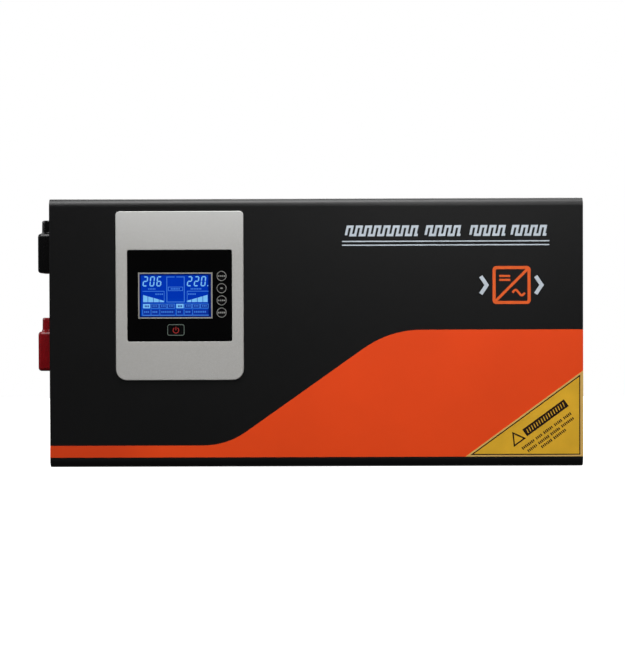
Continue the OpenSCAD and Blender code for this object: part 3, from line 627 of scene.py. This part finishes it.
def power_symbol(shape):
    """A broken ring with an upright bar in the gap."""
    centre = middle("power_key")
    place = on_face(centre.x, centre.z - 0.2 * MM)
    out = front_of("power_key")[1] - 0.16 * MM
    radius, line = 2.3 * MM, 0.6 * MM
    ink(shape, stroke(arc(radius, 125, 415), line), place, out, BLOCK_THICK)
    ink(shape, bar(0, 1.4 * MM, line, 2.8 * MM), place, out, BLOCK_THICK)


# ---- Display picture, where sizes are millimetres ----

# Segments of a digit: a top, b upper right, c lower right, d bottom, e lower left, f upper left, g middle
DIGITS = {"0": "abcdef", "2": "abged", "6": "afgedc"}
LCD_LOW, LCD_HIGH = corners("lcd_frame")
LCD_OUT = FACE_Y - corners("lcd_glass")[0].y
DIGIT_GAP = 0.08  # between the ends of two segments, in millimetres


def on_display(across, down, out):
    """A place on the display, measured right and down from its frame's top left corner."""
    return (LCD_LOW.x + across, FACE_Y - LCD_OUT - out, LCD_HIGH.z - down)


def box_outline(left, top, right, bottom):
    """Outline of a box on the display."""
    return mm((left, top), (right, top), (right, bottom), (left, bottom))


def display_box(shape, left, top, right, bottom, line=0.0):
    """A filled box on the display, or an outline if it has a line width."""
    if line:
        inner = box_outline(left + line, top + line, right - line, bottom - line)
        ink_frame(shape, box_outline(left, top, right, bottom), inner, on_display)
    else:
        ink(shape, box_outline(left, top, right, bottom), on_display)


def digit(shape, character, left, top, width=4.0, height=8.3, line=0.95, lean=0.11):
    """A leaning seven-segment digit."""
    x0, x1 = left + line / 2, left + width - line / 2
    y0, y1, y2 = top + line / 2, top + height / 2, top + height - line / 2
    ends = {
        "a": ((x0, y0), (x1, y0)), "b": ((x1, y0), (x1, y1)), "c": ((x1, y1), (x1, y2)),
        "d": ((x0, y2), (x1, y2)), "e": ((x0, y1), (x0, y2)), "f": ((x0, y0), (x0, y1)),
        "g": ((x0, y1), (x1, y1)),
    }
    for name in DIGITS[character]:
        start, end = (Vector(p) for p in ends[name])
        along = (end - start).normalized()
        side = Vector((-along.y, along.x)) * line / 2
        tip = along * line / 2
        gap = along * DIGIT_GAP
        a, b = start + gap, end - gap
        outline = [a, a + tip + side, b - tip + side, b, b - tip - side, a + tip - side]
        ink(shape, mm(*((p.x + lean * (top + height - p.y), p.y) for p in outline)), on_display)


# The display's layout: millimetres right and down from its frame's top left corner
READINGS = (("206", 3.4), ("220", 39.6))  # figures, and their left edge
READING_TOP, DIGIT_PITCH = 3.0, 5.6
POINT = (56.4, 10.4, 57.2, 11.2)
WEDGE_TOP, WEDGE_BASE, WEDGE_TIP, WEDGE_GAP = 18.3, 24.1, 23.2, 0.45
WEDGE_EDGES = (4.0, 8.1, 12.6, 17.3, 21.4)
CENTRE_BOX, CENTRE_LINE, CENTRE_GAP = (23.1, 3.3, 37.9, 24.3), 0.6, (29.8, 31.2)
INNER_BOX, INNER_LINE = (24.4, 11.6, 36.5, 15.0), 0.45
SHELF_TOP, SHELF_LINE, POST_LINE = 15.0, 0.5, 0.4
SHELVES = ((3.6, 21.4, 21.0), (39.8, 57.4, 39.8))  # start, stop, and the left edge of the post below
CAPTIONS = (  # left, top, count, pitch, width, height
    (8.2, 12.8, 5, 1.25, 0.85, 1.1), (42.8, 12.8, 7, 1.3, 0.9, 1.1), (14.0, 17.0, 4, 1.7, 1.1, 1.2),
    (40.8, 17.0, 4, 1.7, 1.1, 1.2), (26.6, 12.7, 6, 1.3, 0.9, 1.2),
)
STATUS_TOP, STATUS_BOTTOM, STATUS_LINE = 25.6, 29.1, 0.5
STATUS_BOXES = (
    (3.9, 9.7), (10.6, 16.6), (17.5, 23.2), (23.9, 29.6), (31.0, 37.0), (37.9, 43.5), (44.3, 50.1),
    (51.0, 57.0),
)
LIT_STATUS = (0, 4)
LOWER_TOP, LOWER_BOTTOM, LOWER_LINE, LOWER_PITCH = 30.2, 35.0, 0.5, 1.45
LOWER_BOXES = ((3.6, 9.9), (10.4, 16.8), (17.6, 30.0), (31.0, 36.7), (37.4, 43.8), (44.4, 57.3))


def display_bright(shape):
    """The readings, the load wedges and the two lit status boxes."""
    for text, left in READINGS:
        for i, character in enumerate(text):
            digit(shape, character, left + i * DIGIT_PITCH, READING_TOP)
    display_box(shape, *POINT)
    width = (LCD_HIGH.x - LCD_LOW.x) / MM
    fall = (WEDGE_TIP - WEDGE_TOP) / (WEDGE_EDGES[-1] - WEDGE_EDGES[0])
    for start, stop in zip(WEDGE_EDGES, WEDGE_EDGES[1:]):
        x0, x1 = start, stop - WEDGE_GAP
        y0, y1 = (WEDGE_TOP + fall * (x - WEDGE_EDGES[0]) for x in (x0, x1))
        outline = [(x0, y0), (x1, y1), (x1, WEDGE_BASE), (x0, WEDGE_BASE)]
        for mirrored in (outline, [(width - a, b) for a, b in outline]):
            ink(shape, mm(*mirrored), on_display)
    for i in LIT_STATUS:
        display_box(shape, STATUS_BOXES[i][0], STATUS_TOP, STATUS_BOXES[i][1], STATUS_BOTTOM)


def display_dim(shape):
    """Outlines, small blocks for the captions, and the lines round the lower boxes."""
    left, top, right, bottom = CENTRE_BOX
    for x0, x1 in ((left, CENTRE_GAP[0]), (CENTRE_GAP[1], right)):
        display_box(shape, x0, top, x1, top + CENTRE_LINE)
    display_box(shape, left, bottom - CENTRE_LINE, right, bottom)
    for x in (left, right - CENTRE_LINE):
        display_box(shape, x, top + CENTRE_LINE, x + CENTRE_LINE, bottom - CENTRE_LINE)
    display_box(shape, *INNER_BOX, INNER_LINE)
    shelf_bottom = SHELF_TOP + SHELF_LINE
    for start, stop, post in SHELVES:
        display_box(shape, start, SHELF_TOP, stop, shelf_bottom)
        display_box(shape, post, shelf_bottom, post + POST_LINE, WEDGE_BASE)
    for caption in CAPTIONS:
        blocks(shape, *caption)
    for i, (left, right) in enumerate(STATUS_BOXES):
        if i not in LIT_STATUS:
            box = (left - 0.4, STATUS_TOP - 0.1, right + 0.4, STATUS_BOTTOM + 0.2)
            display_box(shape, *box, STATUS_LINE)
            blocks(shape, left + 1.1, STATUS_TOP + 1.1, 3, 1.4, 0.9, 1.1)
    for left, right in LOWER_BOXES:
        foot = LOWER_BOTTOM - LOWER_LINE
        display_box(shape, left - 0.2, foot, right + 0.2, LOWER_BOTTOM + 0.2)
        display_box(shape, left - 0.2, LOWER_TOP, left + 0.25, foot)
        count = int((right - left - 1.6) / LOWER_PITCH)
        blocks(shape, left + 1.2, LOWER_TOP + 1.2, count, LOWER_PITCH, 0.95, 1.4)


def blocks(shape, left, top, count, pitch, width, height):
    """A row of small blocks in place of a caption."""
    for i in range(count):
        display_box(shape, left + i * pitch, top, left + i * pitch + width, top + height)


def display_dark(shape):
    """Darker ground in the unlit boxes, and dark blocks in the lit ones."""
    for i in LIT_STATUS:
        for k in range(3):
            x = STATUS_BOXES[i][0] + 1.4 + k * 1.25
            block = box_outline(x, STATUS_TOP + 1.1, x + 0.85, STATUS_BOTTOM - 0.9)
            ink(shape, block, on_display, INK)
    for i, (left, right) in enumerate(STATUS_BOXES):
        if i not in LIT_STATUS:
            dark_ground(shape, left + 0.1, STATUS_TOP + 0.4, right - 0.1, STATUS_BOTTOM - 0.3)
    for left, right in LOWER_BOXES:
        dark_ground(shape, left + 0.25, LOWER_TOP, right - 0.1, LOWER_BOTTOM - LOWER_LINE)


def dark_ground(shape, left, top, right, bottom):
    """A thin dark plate that lies below the brighter marks."""
    ink(shape, box_outline(left, top, right, bottom), on_display, 0.0, INK * 0.4)


# ---- Printed face ----

TITLE_LOW, TITLE_HIGH = 188.3 * MM, 197.2 * MM
TITLE_GROUPS = ((23.4, 8), (88.4, 4), (124.9, 4), (158.5, 4))  # left edge in millimetres, and pulses
TITLE_LINE, TITLE_PITCH, TITLE_LEAN = 2.0 * MM, 7.55 * MM, 0.22
RULES = (184.2 * MM, 181.1 * MM)
RULE_LEFT, RULE_RIGHT, RULE_LINE = 21.4 * MM, 190.4 * MM, 0.95 * MM
SYMBOL = (159.7 * MM, 148.2 * MM)
SYMBOL_SIDE, SYMBOL_LINE = 31 * MM, 2.5 * MM
CHEVRON_X, CHEVRON_TAIL, CHEVRON_TIP, CHEVRON_RISE = 22.4 * MM, 2.7 * MM, 2.1 * MM, 7.2 * MM


def title_pulses(shape):
    """Four groups of leaning square pulses over a double rule."""
    place = on_face(0, 0)
    low, high = TITLE_LOW + TITLE_LINE / 2, TITLE_HIGH - TITLE_LINE / 2
    for start, count in TITLE_GROUPS:
        points = []
        for i in range(count):
            x = start * MM + TITLE_LINE / 2 + i * TITLE_PITCH
            points += [(x, low), (x, high), (x + TITLE_PITCH / 2, high), (x + TITLE_PITCH / 2, low)]
        points.append((x + TITLE_PITCH / 2 + TITLE_LINE, low))
        leaning = [(a + TITLE_LEAN * (b - TITLE_LOW), b) for a, b in stroke(points, TITLE_LINE)]
        ink(shape, leaning, place)
    for z in RULES:
        ink(shape, bar((RULE_LEFT + RULE_RIGHT) / 2, z, RULE_RIGHT - RULE_LEFT, RULE_LINE), place)


def flow_chevrons(shape):
    """Two pale chevrons, one into the converter symbol and one out of it."""
    place = on_face(*SYMBOL)
    for x in (-CHEVRON_X, CHEVRON_X):
        tail = x - CHEVRON_TAIL
        points = [(tail, CHEVRON_RISE), (x + CHEVRON_TIP, 0), (tail, -CHEVRON_RISE)]
        ink(shape, stroke(points, 3.1 * MM), place)


def converter_symbol(shape):
    """The general sign for an inverter: a square with a diagonal, two bars and a wave."""
    place = on_face(*SYMBOL)
    inside = SYMBOL_SIDE - 2 * SYMBOL_LINE
    ink_frame(shape, rounded_outline(SYMBOL_SIDE, SYMBOL_SIDE, 3 * MM, steps=6),
              rounded_outline(inside, inside, 1 * MM, steps=6), place)
    reach = SYMBOL_SIDE / 2 - 2 * MM
    ink(shape, stroke([(-reach, -reach), (reach, reach)], 2.2 * MM), place, INK)
    for z in (7.4 * MM, 4.2 * MM):
        ink(shape, bar(-5.6 * MM, z, 9 * MM, 1.7 * MM), place)
    steps, start, length = 16, 0.8 * MM, 10 * MM
    level, swing = -6.2 * MM, 2.2 * MM
    wave = [(start + length * i / steps, level + swing * math.sin(2 * math.pi * i / steps))
            for i in range(steps + 1)]
    ink(shape, stroke(wave, 1.8 * MM), place)


LABEL_LOW, LABEL_HIGH = corners("warning_label")
LABEL_OUT = FACE_Y - LABEL_LOW.y
LABEL_ANGLE = math.degrees(math.atan2(LABEL_HIGH.z - LABEL_LOW.z, LABEL_HIGH.x - LABEL_LOW.x))
LABEL_BAR = (-6.3, 43.7, 42.0, 6.8)  # along the slope, out from the corner, length and height, all mm
LABEL_SIGN = (-35.1, 43.3)  # its middle along the slope and out from the corner, mm
# For each row: out from the corner, start along the slope, mm, and the strokes in each word
LABEL_ROWS = ((34.5, -36.0, (8, 4, 6, 5, 5)), (30.1, -33.5, (6, 7, 6, 8)), (26.2, -22.6, (7, 8)))
LABEL_STEP = 1.55
LABEL_BORDERS = (1.75 * MM, 2.9 * MM)  # from the slope and the bottom, and from the side
LABEL_LINE = 0.9 * MM
LABEL_INSET = 0.02 * MM  # of the rim, from the label's cut edge


def sloped(points, along, out):
    """Points set along the label's slope, in millimetres from its right-angled corner."""
    moved = [(a + along * MM, b + out * MM) for a, b in points]
    return turned(moved, LABEL_ANGLE, LABEL_HIGH.x, LABEL_LOW.z)


def label_outline(inset, beside):
    """The label's triangle, moved in from its slope and bottom, and from its side."""
    slope = math.radians(LABEL_ANGLE)
    right, bottom = LABEL_HIGH.x - beside, LABEL_LOW.z + inset

    def height_at(x):
        return LABEL_LOW.z + (x - LABEL_LOW.x) * math.tan(slope) - inset / math.cos(slope)

    left = LABEL_LOW.x + (bottom - height_at(LABEL_LOW.x)) / math.tan(slope)
    return [(left, bottom), (right, bottom), (right, height_at(right))]


def border_edge(shift):
    """An edge of the printed border, shifted in from its centre line."""
    return label_outline(*(border + shift for border in LABEL_BORDERS))


def label_print(shape):
    """A border, a blank triangle, a solid bar and rows of upright strokes along the slope."""
    place = on_face(0, 0)
    ink_frame(shape, border_edge(-LABEL_LINE / 2), border_edge(LABEL_LINE / 2), place, LABEL_OUT)
    triangle = [arc(r * MM, 90, 330, steps=2) for r in (7.2, 4.8)]
    ink_frame(shape, *(sloped(points, *LABEL_SIGN) for points in triangle), place, LABEL_OUT)
    along, out, length, height = LABEL_BAR
    ink(shape, sloped(bar(0, 0, length * MM, height * MM), along, out), place, LABEL_OUT)
    for out, start, words in LABEL_ROWS:
        along = start
        for count in words:
            for i in range(count):
                stem = sloped(bar(0, 0, 0.95 * MM, (2.4 - 0.4 * (i % 2)) * MM), along, out)
                ink(shape, stem, place, LABEL_OUT)
                along += LABEL_STEP
            along += LABEL_STEP


def label_bar_strokes(shape):
    """A row of leaning strokes that leave the bar's middle striped."""
    along, out, length, height = LABEL_BAR
    count, border, lean = 16, 3.2, 0.2
    pitch = (length - border) / count
    for i in range(count):
        points = [(a + lean * b, b) for a, b in bar(0, 0, 0.75 * MM, (height - border) * MM)]
        spot = along + (i - (count - 1) / 2) * pitch
        ink(shape, sloped(points, spot, out), on_face(0, 0), LABEL_OUT + 0.6 * INK)


def label_rim(shape):
    """A pale rim between the label's edge and its border."""
    outer, inner = label_outline(LABEL_INSET, LABEL_INSET), border_edge(-LABEL_LINE / 2)
    ink_frame(shape, outer, inner, on_face(0, 0), LABEL_OUT, INK * 0.6)


END_X = -corners("ac_end_panel")[1].x  # the battery end's surface, which mirrors the AC end's


def end_marks(shape):
    """Polarity signs by the battery studs, and an earth sign by the earth stud."""
    def place(across, up, out):
        return (END_X - out, -across, up)

    length, line, above = 9 * MM, 1.8 * MM, INK * 0.2
    for node in ("terminal_boot_negative", "terminal_boot_positive"):
        spot = (-middle(node).y, corners(node)[0].z - length)
        ink(shape, bar(*spot, length, line), place)
    ink(shape, bar(*spot, line, length), place, above)  # the last one is positive
    earth = middle("ground_terminal")
    across = -earth.y - 14 * MM
    ink(shape, bar(across, earth.z + 3 * MM, 1.2 * MM, 5 * MM), place)
    for i, width in enumerate((8, 5.4, 2.8)):
        ink(shape, bar(across, earth.z + (0.4 - 1.9 * i) * MM, width * MM, 0.9 * MM), place, above)


# ---- Battery terminals ----

AXIS = 0.02 * MM  # radius that closes a turned shape at its axis


def boolean(target, build, operation):
    """Joins what build makes into a target, or cuts it out."""
    other = added("scratch", mesh_of("scratch", build))
    modifier = target.modifiers.new(operation, "BOOLEAN")
    modifier.operation = operation
    modifier.solver = "EXACT"
    modifier.object = other
    graph = bpy.context.evaluated_depsgraph_get()
    mesh = bpy.data.meshes.new_from_object(target.evaluated_get(graph))
    target.modifiers.clear()
    target.data = mesh
    bpy.data.objects.remove(other)


def boot_mesh(node):
    """A square cap with a rolled rim, and a cable sleeve on a low collar, in one."""
    low, high = corners(node)
    half = (high.y - low.y) / 2
    centre = Vector((high.x, (low.y + high.y) / 2, low.z + half))
    depth, top = high.x - low.x, high.z - centre.z
    wall, edge, neck, sleeve, soft = 1.6 * MM, 2.6 * MM, 8.0 * MM, 6.2 * MM, 1.5 * MM
    corner, bead = edge + 0.4 * MM, 0.2 * MM

    def outward(u, v, height):
        return (centre.x - height, centre.y + u, centre.z + v)

    def upward(u, v, height):
        return (centre.x - neck + u, centre.y + v, centre.z + height)

    def square(inset, height, radius):
        side = 2 * (half - inset)
        return [outward(a, b, height) for a, b in rounded_outline(side, side, radius)]

    def cap(shape):
        rim = ((0.3 * MM, 0.0), (0.0, 0.3 * MM), (-bead, 0.8 * MM), (-bead, 2.0 * MM), (0.0, 2.6 * MM),
               (0.0, 3.2 * MM), (0.0, depth - edge - 0.4 * MM))
        rings = [square(inset, height, corner - inset) for inset, height in rim]
        for aside, back in quarter(7):
            inset = edge * aside
            rings.append(square(inset, depth - edge * back, corner - inset))
        rings.append(square(edge + 0.3 * MM, depth, 0.1 * MM))
        loft(shape, rings)

    def tube(shape):
        collar, foot = sleeve + 0.5 * MM, 8 * MM
        end = sleeve - 0.1 * MM
        profile = [(AXIS, foot), (collar, foot), (collar, half + 0.9 * MM),
                   (sleeve + 0.3 * MM, half + 1.3 * MM), (sleeve, half + 1.5 * MM),
                   (sleeve, half + 2.1 * MM), (end, top - soft - 0.6 * MM)]
        profile += [(end - soft * aside, top - soft * back) for aside, back in quarter(5)]
        profile.append((AXIS, top))
        lathe(shape, profile, upward, 48)

    def hollow(shape):
        loft(shape, [square(wall, -2 * MM, 2 * MM), square(wall, depth - wall, 2 * MM)])

    def cable_way(shape):
        bore, foot, past = sleeve - wall, 5 * MM, top + 2 * MM
        lathe(shape, [(AXIS, foot), (bore, foot), (bore, past), (AXIS, past)], upward, 40)

    body = added("scratch", mesh_of("scratch", cap))
    boolean(body, tube, "UNION")
    boolean(body, hollow, "DIFFERENCE")
    boolean(body, cable_way, "DIFFERENCE")
    mesh = body.data
    bpy.data.objects.remove(body)
    return mesh


def thread(shape, radius, pitch, start, stop, place, steps=28):
    """A screw thread between two heights, with a plain chamfered end."""
    depth, tip = 0.55 * pitch, 0.72 * radius
    rows = round((stop - start) / (pitch / 6))
    rings = []
    for row in range(rows + 1):
        height = start + (stop - start) * row / rows
        fade = min(1.0, 4.0 * (rows - row) / rows)
        ring = []
        for i in range(steps):
            turn = i / steps
            phase = (height / pitch - turn) % 1.0
            r = radius - depth * abs(2 * phase - 1) * fade
            a = 2 * math.pi * turn
            ring.append(place(r * math.cos(a), r * math.sin(a), height))
        rings.append(ring)
    rings.append([place(u, v, stop + 0.5 * MM) for u, v in circle(tip, steps)])
    loft(shape, rings)


def nut(shape, flats, thick, bore, base, place, steps=72):
    """A hexagon nut with a round chamfer on both faces."""
    chamfer = math.radians(30)

    def hexagon(a):
        return flats / 2 / math.cos((a + math.pi / 6) % (math.pi / 3) - math.pi / 6)

    def face(a):
        return flats / 2 * 0.97

    def hole(a):
        return bore

    def lead_in(a):
        return bore + 0.4 * MM

    def fall(a):
        return (hexagon(a) - face(a)) * math.tan(chamfer)

    top, soft = base + thick, 0.3 * MM
    rings = []
    for radius, level, drop in (
        (hole, top - soft, 0), (lead_in, top, 0), (face, top, 0), (hexagon, top, -1),
        (hexagon, base, 1), (face, base, 0), (lead_in, base, 0), (hole, base + soft, 0),
    ):
        rings.append([place(radius(a) * math.cos(a), radius(a) * math.sin(a), level + drop * fall(a))
                      for a in full_turn(steps)])
    loft(shape, rings, closed=True)


def washer(shape, radius, bore, thick, base, place):
    """A flat washer with its outer edges softened."""
    soft, top = 0.2 * MM, base + thick
    profile = [(bore, base), (bore, top), (radius - soft, top), (radius, top - soft),
               (radius, base + soft), (radius - soft, base)]
    lathe(shape, profile, place, 56, closed=True)


def out_of_panel(y, z):
    """Places (u, v, height) on an axis that points out of the battery end panel."""
    return lambda u, v, height: (END_X - height, y + u, z + v)


TERMINAL_Y = middle("terminal_studs").y
TERMINAL_Z = [middle(node).z for node in ("terminal_base_negative", "terminal_base_positive")]
# Battery stud: radius, thread pitch and ends; nut, washer, insulator and bus bar
M8, M8_PITCH, M8_IN, M8_OUT = 3.95 * MM, 1.25 * MM, -21 * MM, 12.4 * MM
NUT_FLATS, NUT_THICK, WASHER_RADIUS, WASHER_THICK = 13 * MM, 6 * MM, 8.5 * MM, 1.6 * MM
BASE_OUT = 3 * MM  # how far a terminal's insulator stands out of the panel
INSULATOR_IN = -4.6 * MM  # depth of its inner washer
BAR_THICK = 3 * MM
# Earth stud, in the same order, with the level of its inner nut
M6, M6_PITCH, M6_IN, M6_OUT, M6_BORE = 2.95 * MM, 1 * MM, -9 * MM, 6.8 * MM, 2.9 * MM
EARTH_FLATS, EARTH_THICK, EARTH_WASHER, EARTH_INNER = 10 * MM, 5 * MM, 6.5 * MM, -6.6 * MM


def studs_shape(shape):
    """Two threaded battery studs."""
    for z in TERMINAL_Z:
        thread(shape, M8, M8_PITCH, M8_IN, M8_OUT, out_of_panel(TERMINAL_Y, z))


def stud_nuts_shape(shape):
    """A washer and a nut outside, and two nuts inside, on each battery stud."""
    outside, inside = BASE_OUT + WASHER_THICK, INSULATOR_IN - NUT_THICK
    behind_bar = INSULATOR_IN - 2 * NUT_THICK - BAR_THICK
    for z in TERMINAL_Z:
        place = out_of_panel(TERMINAL_Y, z)
        washer(shape, WASHER_RADIUS, M8, WASHER_THICK, BASE_OUT, place)
        for base in (outside, inside, behind_bar):
            nut(shape, NUT_FLATS, NUT_THICK, M8, base, place)


def earth_shape(shape):
    """A threaded earth stud with its washer and two nuts."""
    centre = middle("ground_terminal")
    place = out_of_panel(centre.y, centre.z)
    thread(shape, M6, M6_PITCH, M6_IN, M6_OUT, place)
    washer(shape, EARTH_WASHER, M6_BORE, WASHER_THICK, 0.02 * MM, place)
    for base in (WASHER_THICK, EARTH_INNER):
        nut(shape, EARTH_FLATS, EARTH_THICK, M6_BORE, base, place)


# ---- Fans ----

BLADES = 7


def rotor_shape(node):
    """A hub with a rounded rim and curved, twisted blades."""
    low, high = corners(node)
    centre = middle(node)
    depth = high.x - low.x
    hub, tip, root = 16 * MM, 36.8 * MM, 1 * MM  # root is how far a blade starts inside the hub
    stations, points = 9, 16
    play = 0.6 * MM  # between a blade and each end of the rotor

    def inward(u, v, height):
        return (low.x + height, centre.y + u, centre.z + v)

    def blade(shape, turn):
        rings = []
        for k in range(stations):
            share = k / (stations - 1)
            radius = hub - root + (tip - hub + root) * share
            pitch = math.radians(46 - 14 * share)
            chord = (15 + 7.5 * share) * MM
            sweep = turn + math.radians(16) * share * share
            ring = []
            for a in full_turn(points):
                along = chord / 2 * math.cos(a)
                camber = 1.6 * MM * (1 - (2 * along / chord) ** 2)
                thick = 0.75 * MM * math.sin(a) + camber
                around = along * math.cos(pitch) - thick * math.sin(pitch)
                height = depth / 2 + along * math.sin(pitch) + thick * math.cos(pitch)
                angle = sweep + around / radius
                height = min(max(height, play), depth - play)
                ring.append(inward(radius * math.cos(angle), radius * math.sin(angle), height))
            rings.append(ring)
        loft(shape, rings)

    def build(shape):
        bore = 4.05 * MM
        boss, rim, floor, face = bore + 1.6 * MM, hub - 1.4 * MM, 3 * MM, 0.5 * MM
        profile = [(AXIS, face), (11 * MM, face), (11.4 * MM, 0.1 * MM), (14.4 * MM, 0.0),
                   (15.5 * MM, face), (hub, 1.6 * MM), (hub, depth), (rim, depth), (rim, floor),
                   (boss, floor), (boss, depth), (bore, depth), (bore, 2 * MM), (AXIS, 2 * MM)]
        lathe(shape, profile, inward, 64)
        for turn in full_turn(BLADES):
            blade(shape, turn)
    return build


def hub_sticker(node):
    """A plain foil disc on a fan's hub."""
    low, _ = corners(node)
    centre = middle(node)

    def place(u, v, height):
        return (low.x + 0.5 * MM - height, centre.y + u, centre.z + v)

    def build(shape):
        ink(shape, circle(10.4 * MM, steps=56), place, 0.0, 0.08 * MM)
    return build


# ---- Assembly ----

def build_display():
    piece("display_bezel_moulding", bezel_shape, "silver_paint", replaces=["display_bezel"], sharp=50)
    for node in ROUND_KEYS:
        piece(node + "_cap", round_key_shape(node), "key_black", node, [node])
        piece(node + "_mark", key_mark(node), "white_print", node, material=KEY_PRINT)
    piece("power_key_cap", power_key_shape, "key_black", "power_key", ["power_key"])
    piece("power_key_outline", power_outline, "white_print", "power_key", material=POWER_PRINT)
    piece("power_key_symbol", power_symbol, "orange_print", "power_key", material=RED_SYMBOL)
    piece("display_bright_segments", display_bright, "lcd_blue", material=LIT_SEGMENT)
    piece("display_dim_segments", display_dim, "lcd_blue", material=DIM_SEGMENT)
    piece("display_dark_segments", display_dark, "lcd_blue", material=DARK_SEGMENT)


def build_prints():
    piece("title_pulses", title_pulses, "white_print")
    piece("flow_chevrons", flow_chevrons, "white_print")
    piece("converter_symbol", converter_symbol, "orange_print")
    piece("label_print", label_print, "yellow_film", material=LABEL_INK)
    piece("label_bar_strokes", label_bar_strokes, "yellow_film")
    piece("label_rim", label_rim, "yellow_film", material=LABEL_RIM)
    piece("end_panel_marks", end_marks, "white_print")


def build_terminals():
    for pole, slot in (("negative", "boot_black"), ("positive", "boot_red")):
        node = "terminal_boot_" + pole
        piece(node + "_moulding", boot_mesh(node), slot, pole + "_boot", [node], 40)
    piece("threaded_studs", studs_shape, "brass", replaces=["terminal_studs"], sharp=70)
    piece("stud_nuts", stud_nuts_shape, "zinc_steel", replaces=["terminal_nuts"])
    piece("earth_stud", earth_shape, "brass", replaces=["ground_terminal"])


def build_fans():
    for side in ("upper", "lower"):
        node = "fan_rotor_" + side
        piece(node + "_moulding", rotor_shape(node), "black_plastic", side + "_fan", [node])
        piece(node + "_sticker", hub_sticker(node), "aluminium", side + "_fan")


# ---- Studio ----

CAMERA_DISTANCE = 1.5
CAMERA_RISE = 0.8  # degrees above the level view
CAMERA_YAW = 0.33  # degrees to the right of the square-on view
CAMERA_ROLL = -0.19  # degrees
VIEW_HEIGHT = 547.45 * MM  # height of the frame at the display face
SENSOR = 36.0
FLOOR_GLOW = 0.95
WORLD_LIGHT, WORLD_SEEN = 0.05, 1.0  # brightness as light on the object, and to the camera
AIM = Vector((-2.95 * MM, FACE_Y, CASE_HEIGHT / 2 - 1.95 * MM))


def aim(thing, target, roll=0.0):
    """Turns a camera or a light to look at a target."""
    look = (target - thing.location).to_track_quat("-Z", "Y").to_matrix()
    thing.rotation_euler = (look @ Matrix.Rotation(math.radians(roll), 3, "Z")).to_euler()


def add_camera():
    """The camera that took the photo, a little above and to the right of square on."""
    data = bpy.data.cameras.new("camera")
    data.sensor_width = SENSOR
    data.lens = SENSOR * CAMERA_DISTANCE / VIEW_HEIGHT
    camera = added("camera", data)
    rise, yaw = math.radians(CAMERA_RISE), math.radians(CAMERA_YAW)
    level = math.cos(rise)
    direction = Vector((level * math.sin(yaw), -level * math.cos(yaw), math.sin(rise)))
    camera.location = AIM + CAMERA_DISTANCE * direction
    aim(camera, AIM, CAMERA_ROLL)
    bpy.context.scene.camera = camera


# Name, place, width, height, power in watts, and the kind of ray that a light is hidden from
LIGHTS = (
    ("overhead", (0.0, -0.42, 2.07), 1.1, 1.2, 23.5, None),
    ("behind", (0.0, 0.62, 2.01), 1.4, 0.9, 5.1, None),
    ("front", (0.12, -0.80, 0.85), 0.9, 0.7, 12.6, "visible_glossy"),
    ("fill", (-1.2, -1.2, 0.6), 0.8, 0.8, 4.5, "visible_glossy"),
    ("sheen_high", (0.28, -1.52, 1.38), 0.55, 1.45, 6.2, "visible_diffuse"),
    ("sheen_left", (-0.58, -1.10, 1.68), 0.7, 1.4, 8, "visible_diffuse"),
    ("sheen_low", (0.28, -1.93, 0.56), 0.55, 0.5, 0.9, "visible_diffuse"),
    ("back", (0.3, 1.9, 1.3), 1.6, 1.2, 20, None),
    ("end_left", (-1.9, 0.4, 0.9), 1.0, 1.0, 13, None),
    ("end_right", (1.9, 0.4, 0.9), 1.0, 1.0, 13, None),
)


def add_light(name, location, width, height, power, hidden):
    """A soft box that faces the middle of the case."""
    data = bpy.data.lights.new(name, "AREA")
    data.shape = "RECTANGLE"
    data.size = width
    data.size_y = height
    data.energy = power
    light = added(name, data)
    light.location = location
    aim(light, Vector((0, 0, CASE_HEIGHT / 2)))
    if hidden:
        setattr(light, hidden, False)


def add_floor():
    """A wide, pale, slightly uneven studio floor."""
    half, near, far, level = 2.0, -2.4, 1.1, -0.4 * MM
    points = [(-half, near, level), (half, near, level), (half, far, level), (-half, far, level)]
    mesh = bpy.data.meshes.new("floor")
    mesh.from_pydata(points, [], [(0, 1, 2, 3)])
    material = surface("floor_paper", (0.80, 0.80, 0.80), 0.8, level=0.1, tone=0.01, tone_size=800,
                       grain=3, relief=0.02)
    tree = material.node_tree
    glow = {"Emission Color": (1, 1, 1, 1), "Emission Strength": FLOOR_GLOW}
    set_inputs(tree, tree.nodes["Principled BSDF"], glow)
    mesh.materials.append(material)
    floor = added("floor", mesh)
    floor.visible_glossy = False
    floor.visible_diffuse = False


def add_world():
    """Plain white to the eye, and a dimmer grey as light on the object."""
    world = bpy.data.worlds.new("studio")
    world.use_nodes = True
    bpy.context.scene.world = world
    tree = world.node_tree
    tree.nodes.clear()
    output = tree.nodes.new("ShaderNodeOutputWorld")
    path = tree.nodes.new("ShaderNodeLightPath")
    blend = tree.nodes.new("ShaderNodeMixShader")
    set_inputs(tree, blend, {"Fac": path.outputs["Is Camera Ray"]})
    for socket, strength in ((1, WORLD_LIGHT), (2, WORLD_SEEN)):
        background = tree.nodes.new("ShaderNodeBackground")
        set_inputs(tree, background, {"Color": (1, 1, 1, 1), "Strength": strength})
        set_inputs(tree, blend, {socket: background.outputs["Background"]})
    set_inputs(tree, output, {"Surface": blend.outputs["Shader"]})


def build_studio():
    add_camera()
    add_floor()
    add_world()
    for light in LIGHTS:
        add_light(*light)
    bpy.context.scene.view_settings.view_transform = "Standard"


build_studio()
paint_frame()
build_display()
build_prints()
build_terminals()
build_fans()
